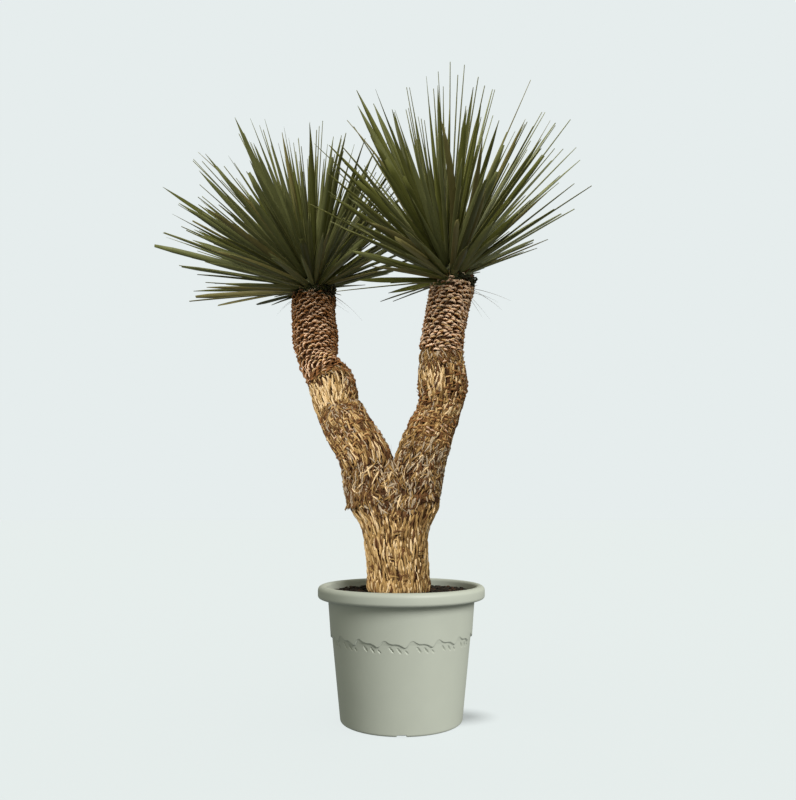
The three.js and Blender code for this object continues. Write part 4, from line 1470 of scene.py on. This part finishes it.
class YUCCA_OT_leaves(bpy.types.Operator):
    """Grow the leaves of both heads, tier by tier, and the cores that carry them"""

    bl_idname = "yucca.leaves"
    bl_label = "Leaves"

    def execute(self, context):
        settings = context.scene.yucca_leaves
        materials = leaf_materials(settings)
        for side, head in HEADS.items():
            self.crown_core(side, head, materials[0])
            first_leaf = 0
            for name, tier in {**TIERS, "heart": HEART_TIER}.items():
                count = round(tier["leaves"] * settings.density)
                random = np.random.default_rng(head["seed"] * 100 + first_leaf)
                blades = self.tier_blades(side, tier, first_leaf, count, settings, random)
                piece = ribbon_piece(f"{side}_{name}_blades", *blades, materials, random)
                nodes = [f"{side}_{name}_leaves"] if name in TIERS else []
                finish_piece(piece, "leaf_green", *nodes)
                first_leaf += count
        return {"FINISHED"}

    @staticmethod
    def tier_blades(side, tier, first_leaf, count, settings, random):
        head = HEADS[side]
        axis = np.array(head_axis(head))
        root, direction, full_length = leaves_of_tier(head, tier, first_leaf, count, random)
        reach = full_length * (LONGEST_SHARE - LENGTH_SPREAD * random.uniform(0, 1, count))
        room = room_between_heads(side, root, direction)
        length = np.minimum(reach, room)
        bent = random.uniform(0, 1, count) < head["bent_share"]
        spine, facing = blade_spines(root, direction, length, axis, bent, random)
        outline = BLADE_OUTLINES[random.choice(3, size=count, p=tier["outlines"])]
        half_width = settings.width / 2 * random.uniform(*BLADE_WIDTH_SHARE, (count, 1)) * outline
        thinning = lerp(1, TIP_THICKNESS, np.linspace(0, 1, BLADE_STATIONS) ** 2)
        thickness = settings.thickness * random.uniform(*BLADE_THICKNESS_SHARE, (count, 1)) * thinning

        weights = np.array([tier["tones"].get(tone, 0) for tone in LEAF_TONES], float)
        tones = random.choice(len(LEAF_TONES), size=count, p=weights / weights.sum())
        # Leaves towards the head's lit side take a lighter tone, painted light, and are made more slender
        # there
        light_side_nearness = nearness(direction, head["painted_light_side"])
        painted_lighter = random.uniform(0, 1, count) < PAINTED_LIGHT_SHARE * light_side_nearness
        half_width = half_width * (1 - head["slender"] * light_side_nearness)[:, None]
        tones[painted_lighter] = np.maximum(tones[painted_lighter], LEAF_TONES.index(head["painted_light_tone"]))
        tones[bent] = LEAF_TONES.index("yellowed")
        slots = np.empty((count, BLADE_STATIONS - 1, len(LEAF_SECTION)), int)
        slots[:] = tones[:, None, None]
        pale_footed = random.uniform(0, 1, count) < PALE_FOOT_SHARE
        slots[pale_footed, :PALE_FOOT_STRETCHES] = LEAF_TONES.index("pale_base")
        slots[:, :, LEAF_MARGINS] = LEAF_TONES.index("margin")

        keep = room >= SHORTEST_SHARE * full_length
        for side_way, share in head["openings"]:
            keep &= random.uniform(0, 1, count) > share * nearness(direction, side_way)
        for limb in BOUGHS.values():
            keep &= ~limb.holds(spine[:, BARE_STATIONS:], -BOUGH_CLEARANCE).any(axis=1)
        young = random.uniform(0, 1, count) < head["young_share"] * nearness(direction, head["heart"])
        spine[young] = lerp(root[young, None], spine[young], YOUNG_LENGTH)
        half_width[young] *= YOUNG_WIDTH
        return spine[keep], facing[keep], half_width[keep], thickness[keep], LEAF_SECTION, slots[keep]

    @staticmethod
    def crown_core(side, head, material):
        """The short stem inside a head, which the leaves' roots sit in."""
        shape = turned_shape([(radius * MM, z * MM) for radius, z in CORE_PROFILE], CORE_STEPS)
        bmesh.ops.recalc_face_normals(shape, faces=shape.faces)
        upright = Vector((0, 0, 1)).rotation_difference(head_axis(head)).to_matrix()
        bmesh.ops.rotate(shape, verts=shape.verts, cent=(0, 0, 0), matrix=upright)
        bmesh.ops.translate(shape, verts=shape.verts, vec=head["tip"])
        finish_piece(object_from_bmesh(f"{side}_crown_core", shape, [material], 50), "leaf_green")


# Dead leaves that still hang under each head, and the one that stands in the crotch
STRAYS_PER_HEAD = 13
STRAY_STATIONS = 8
STRAY_DROP = 12 * MM
STRAY_SINK = 6 * MM
STRAY_RISE = (-0.7, 0.25)
STRAY_LENGTH = (45 * MM, 150 * MM)
STRAY_DROOP = (0.05, 0.4)
STRAY_HALF_WIDTH = (1.2 * MM, 2.6 * MM)
STRAY_SIDE = (0.3, 1, 0.2)
STRAY_TURN_JITTER = 0.3
STRAY_TIP_SHARE = 0.1
STRAY_FLATNESS = 0.5
CROTCH_STRAY = {"root": (-32, -10, 772), "way": (0.03, -0.05, 1.0), "length": 52 * MM}


class YUCCA_OT_strays(bpy.types.Operator):
    """Hang a few dead leaves under the heads and stand one in the crotch"""

    bl_idname = "yucca.strays"
    bl_label = "Dead Leaves"

    def execute(self, context):
        random = np.random.default_rng(120)
        roots, ways, lengths = [], [], []
        for side, limb in BOUGHS.items():
            collar = limb.run_at_height(HEADS[side]["tip"][2] - STRAY_DROP)
            jitter = random.normal(0, STRAY_TURN_JITTER, STRAYS_PER_HEAD)
            turn = np.arange(STRAYS_PER_HEAD) * GOLDEN_ANGLE + jitter
            root, outward = limb.surface(np.full(STRAYS_PER_HEAD, collar), turn)
            rise = random.uniform(*STRAY_RISE, STRAYS_PER_HEAD)
            roots.append(root - outward * STRAY_SINK)
            ways.append(unit(outward + np.array([0, 0, 1]) * rise[:, None]))
            lengths.append(random.uniform(*STRAY_LENGTH, STRAYS_PER_HEAD))
        roots.append(np.array([CROTCH_STRAY["root"]]) * MM)
        ways.append(unit(np.array([CROTCH_STRAY["way"]])))
        lengths.append(np.array([CROTCH_STRAY["length"]]))
        root, way, length = np.concatenate(roots), np.concatenate(ways), np.concatenate(lengths)
        share = np.linspace(0, 1, STRAY_STATIONS)
        spine = root[:, None] + way[:, None] * (length[:, None] * share)[..., None]
        droop = random.uniform(*STRAY_DROOP, len(root)) * length
        droop[-1] = 0
        spine[..., 2] -= droop[:, None] * share ** 2
        facing = np.broadcast_to(unit(np.cross(way, STRAY_SIDE))[:, None], spine.shape)
        half_width = random.uniform(*STRAY_HALF_WIDTH, (len(root), 1)) * lerp(1, STRAY_TIP_SHARE, share)
        slots = np.full((len(root), 1, 1), LEAF_TONES.index("dry"))
        materials = leaf_materials(context.scene.yucca_leaves)
        thickness = half_width * STRAY_FLATNESS
        piece = ribbon_piece(
            "dead_leaves", spine, facing, half_width, thickness, FIBRE_SECTION, slots, materials, random)
        finish_piece(piece, "leaf_green")
        return {"FINISHED"}


# Stage

# Shares of the backdrop's tone that the floor reflects to the camera and on to the plant, and share that it
# glows with for the camera
FLOOR_SHARE = 0.2
FLOOR_BOUNCE = 0.11
FLOOR_GLOW = 0.477
FLOOR_HALF_SIZE = 40
AMBIENT_TINT = (0.98, 1, 0.84)

# Camera: its place, its tilt up from level, its lens and how far that is shifted
CAMERA_PLACE = (-0.0099, -2.3037, 0.6301)
CAMERA_TILT = math.radians(2.17)
LENS_LENGTH = 34.25
SENSOR_WIDTH = 36
LENS_SHIFT = 0.1


class YUCCA_OT_stage(bpy.types.Operator):
    """Set the pale floor, the soft lights and the camera"""

    bl_idname = "yucca.stage"
    bl_label = "Stage"

    def execute(self, context):
        settings = context.scene.yucca_stage
        self.floor(settings)
        self.world(context, settings)
        self.lights(context, settings)
        self.camera(context)
        context.scene.view_settings.view_transform = "Standard"
        return {"FINISHED"}

    @staticmethod
    def floor(settings):
        """A floor that shows the backdrop's tone, glowing for the camera alone, with a faint shadow."""
        shape = bmesh.new()
        bmesh.ops.create_grid(shape, x_segments=1, y_segments=1, size=FLOOR_HALF_SIZE)
        material, tree, shader = new_material("studio_floor")
        shader.inputs["Roughness"].default_value = 1
        shader.inputs["Specular IOR Level"].default_value = 0
        shader.inputs["Emission Color"].default_value = (*settings.backdrop, 1)
        path = tree.nodes.new("ShaderNodeLightPath")
        shares = [scaled_colour(settings.backdrop, share) for share in (FLOOR_BOUNCE, FLOOR_SHARE)]
        colour = mixed_colour(tree, *shares, path.outputs["Is Camera Ray"])
        tree.links.new(colour, shader.inputs["Base Color"])
        glow = tree.nodes.new("ShaderNodeMath")
        glow.operation = "MULTIPLY"
        glow.inputs[1].default_value = FLOOR_GLOW
        tree.links.new(path.outputs["Is Camera Ray"], glow.inputs[0])
        tree.links.new(glow.outputs["Value"], shader.inputs["Emission Strength"])
        floor = object_from_bmesh("floor", shape, [material])
        lit_group("floor_lit").objects.link(floor)

    @staticmethod
    def world(context, settings):
        world = bpy.data.worlds.new("studio")
        context.scene.world = world
        world.use_nodes = True
        tree = world.node_tree
        seen = tree.nodes["Background"]
        seen.inputs["Color"].default_value = (*settings.backdrop, 1)
        light = make_node(tree, "ShaderNodeBackground", Strength=settings.ambient)
        light.inputs["Color"].default_value = (*AMBIENT_TINT, 1)
        path = tree.nodes.new("ShaderNodeLightPath")
        mix = tree.nodes.new("ShaderNodeMixShader")
        tree.links.new(path.outputs["Is Camera Ray"], mix.inputs[0])
        tree.links.new(light.outputs["Background"], mix.inputs[1])
        tree.links.new(seen.outputs["Background"], mix.inputs[2])
        tree.links.new(mix.outputs["Shader"], tree.nodes["World Output"].inputs["Surface"])

    @staticmethod
    def lights(context, settings):
        """Suns by name, strength, softness in degrees, the way they shine from and what they shine on."""
        lamps = (
            ("pot_light", settings.pot_key, 30, (1.2, -1.62, 1.38), "pot_lit"),
            ("plant_light", settings.plant_key, 35, (-1.1, -2.4, 1.05), "plant_lit"),
            ("plant_fill", settings.plant_fill, 60, (0.8, -2.4, 0.5), "plant_lit"),
            ("floor_light", settings.floor_key, 8, (-0.22, -0.05, 1.0), "floor_lit"),
        )
        for name, strength, softness, place, group in lamps:
            lamp = bpy.data.lights.new(name, "SUN")
            lamp.energy = strength
            lamp.angle = math.radians(softness)
            light = bpy.data.objects.new(name, lamp)
            light.rotation_euler = Vector(place).to_track_quat("Z", "Y").to_euler()
            light.location = place
            light.light_linking.receiver_collection = lit_group(group)
            if group == "floor_lit":
                light.light_linking.blocker_collection = lit_group("shade_caster")
            context.scene.collection.objects.link(light)

    @staticmethod
    def camera(context):
        lens = bpy.data.cameras.new("camera")
        lens.lens = LENS_LENGTH
        lens.sensor_width = SENSOR_WIDTH
        lens.shift_y = LENS_SHIFT
        camera = bpy.data.objects.new("camera", lens)
        camera.location = CAMERA_PLACE
        camera.rotation_euler = (math.pi / 2 + CAMERA_TILT, 0, 0)
        context.scene.collection.objects.link(camera)
        context.scene.camera = camera


MAKERS = (
    YUCCA_OT_pot, YUCCA_OT_soil, YUCCA_OT_stem, YUCCA_OT_straw, YUCCA_OT_leaf_bases, YUCCA_OT_thatch,
    YUCCA_OT_ledges, YUCCA_OT_leaves, YUCCA_OT_strays, YUCCA_OT_stage,
)
SETTINGS = {
    "yucca_pot": YuccaPotSettings,
    "yucca_bark": YuccaBarkSettings,
    "yucca_leaves": YuccaLeafSettings,
    "yucca_stage": YuccaStageSettings,
}


class YUCCA_PT_parts(bpy.types.Panel):
    """Lists the plant's pieces and their settings"""

    bl_idname = "YUCCA_PT_parts"
    bl_label = "Beaked Yucca"
    bl_space_type = "VIEW_3D"
    bl_region_type = "UI"
    bl_category = "Yucca"

    def draw(self, context):
        for maker in MAKERS:
            self.layout.operator(maker.bl_idname)
        for name, group in SETTINGS.items():
            box = self.layout.box()
            for setting in group.__annotations__:
                box.prop(getattr(context.scene, name), setting)


def register():
    for group in SETTINGS.values():
        bpy.utils.register_class(group)
    for name, group in SETTINGS.items():
        setattr(bpy.types.Scene, name, PointerProperty(type=group))
    for maker in MAKERS:
        bpy.utils.register_class(maker)
    bpy.utils.register_class(YUCCA_PT_parts)


def unregister():
    bpy.utils.unregister_class(YUCCA_PT_parts)
    for maker in reversed(MAKERS):
        bpy.utils.unregister_class(maker)
    for name, group in SETTINGS.items():
        delattr(bpy.types.Scene, name)
        bpy.utils.unregister_class(group)


def main():
    register()
    bpy.ops.yucca.pot()
    bpy.ops.yucca.soil()
    bpy.ops.yucca.stem()
    bpy.ops.yucca.straw()
    bpy.ops.yucca.leaf_bases()
    bpy.ops.yucca.thatch()
    bpy.ops.yucca.ledges()
    bpy.ops.yucca.leaves()
    bpy.ops.yucca.strays()
    bpy.ops.yucca.stage()


if __name__ == "__main__":
    main()
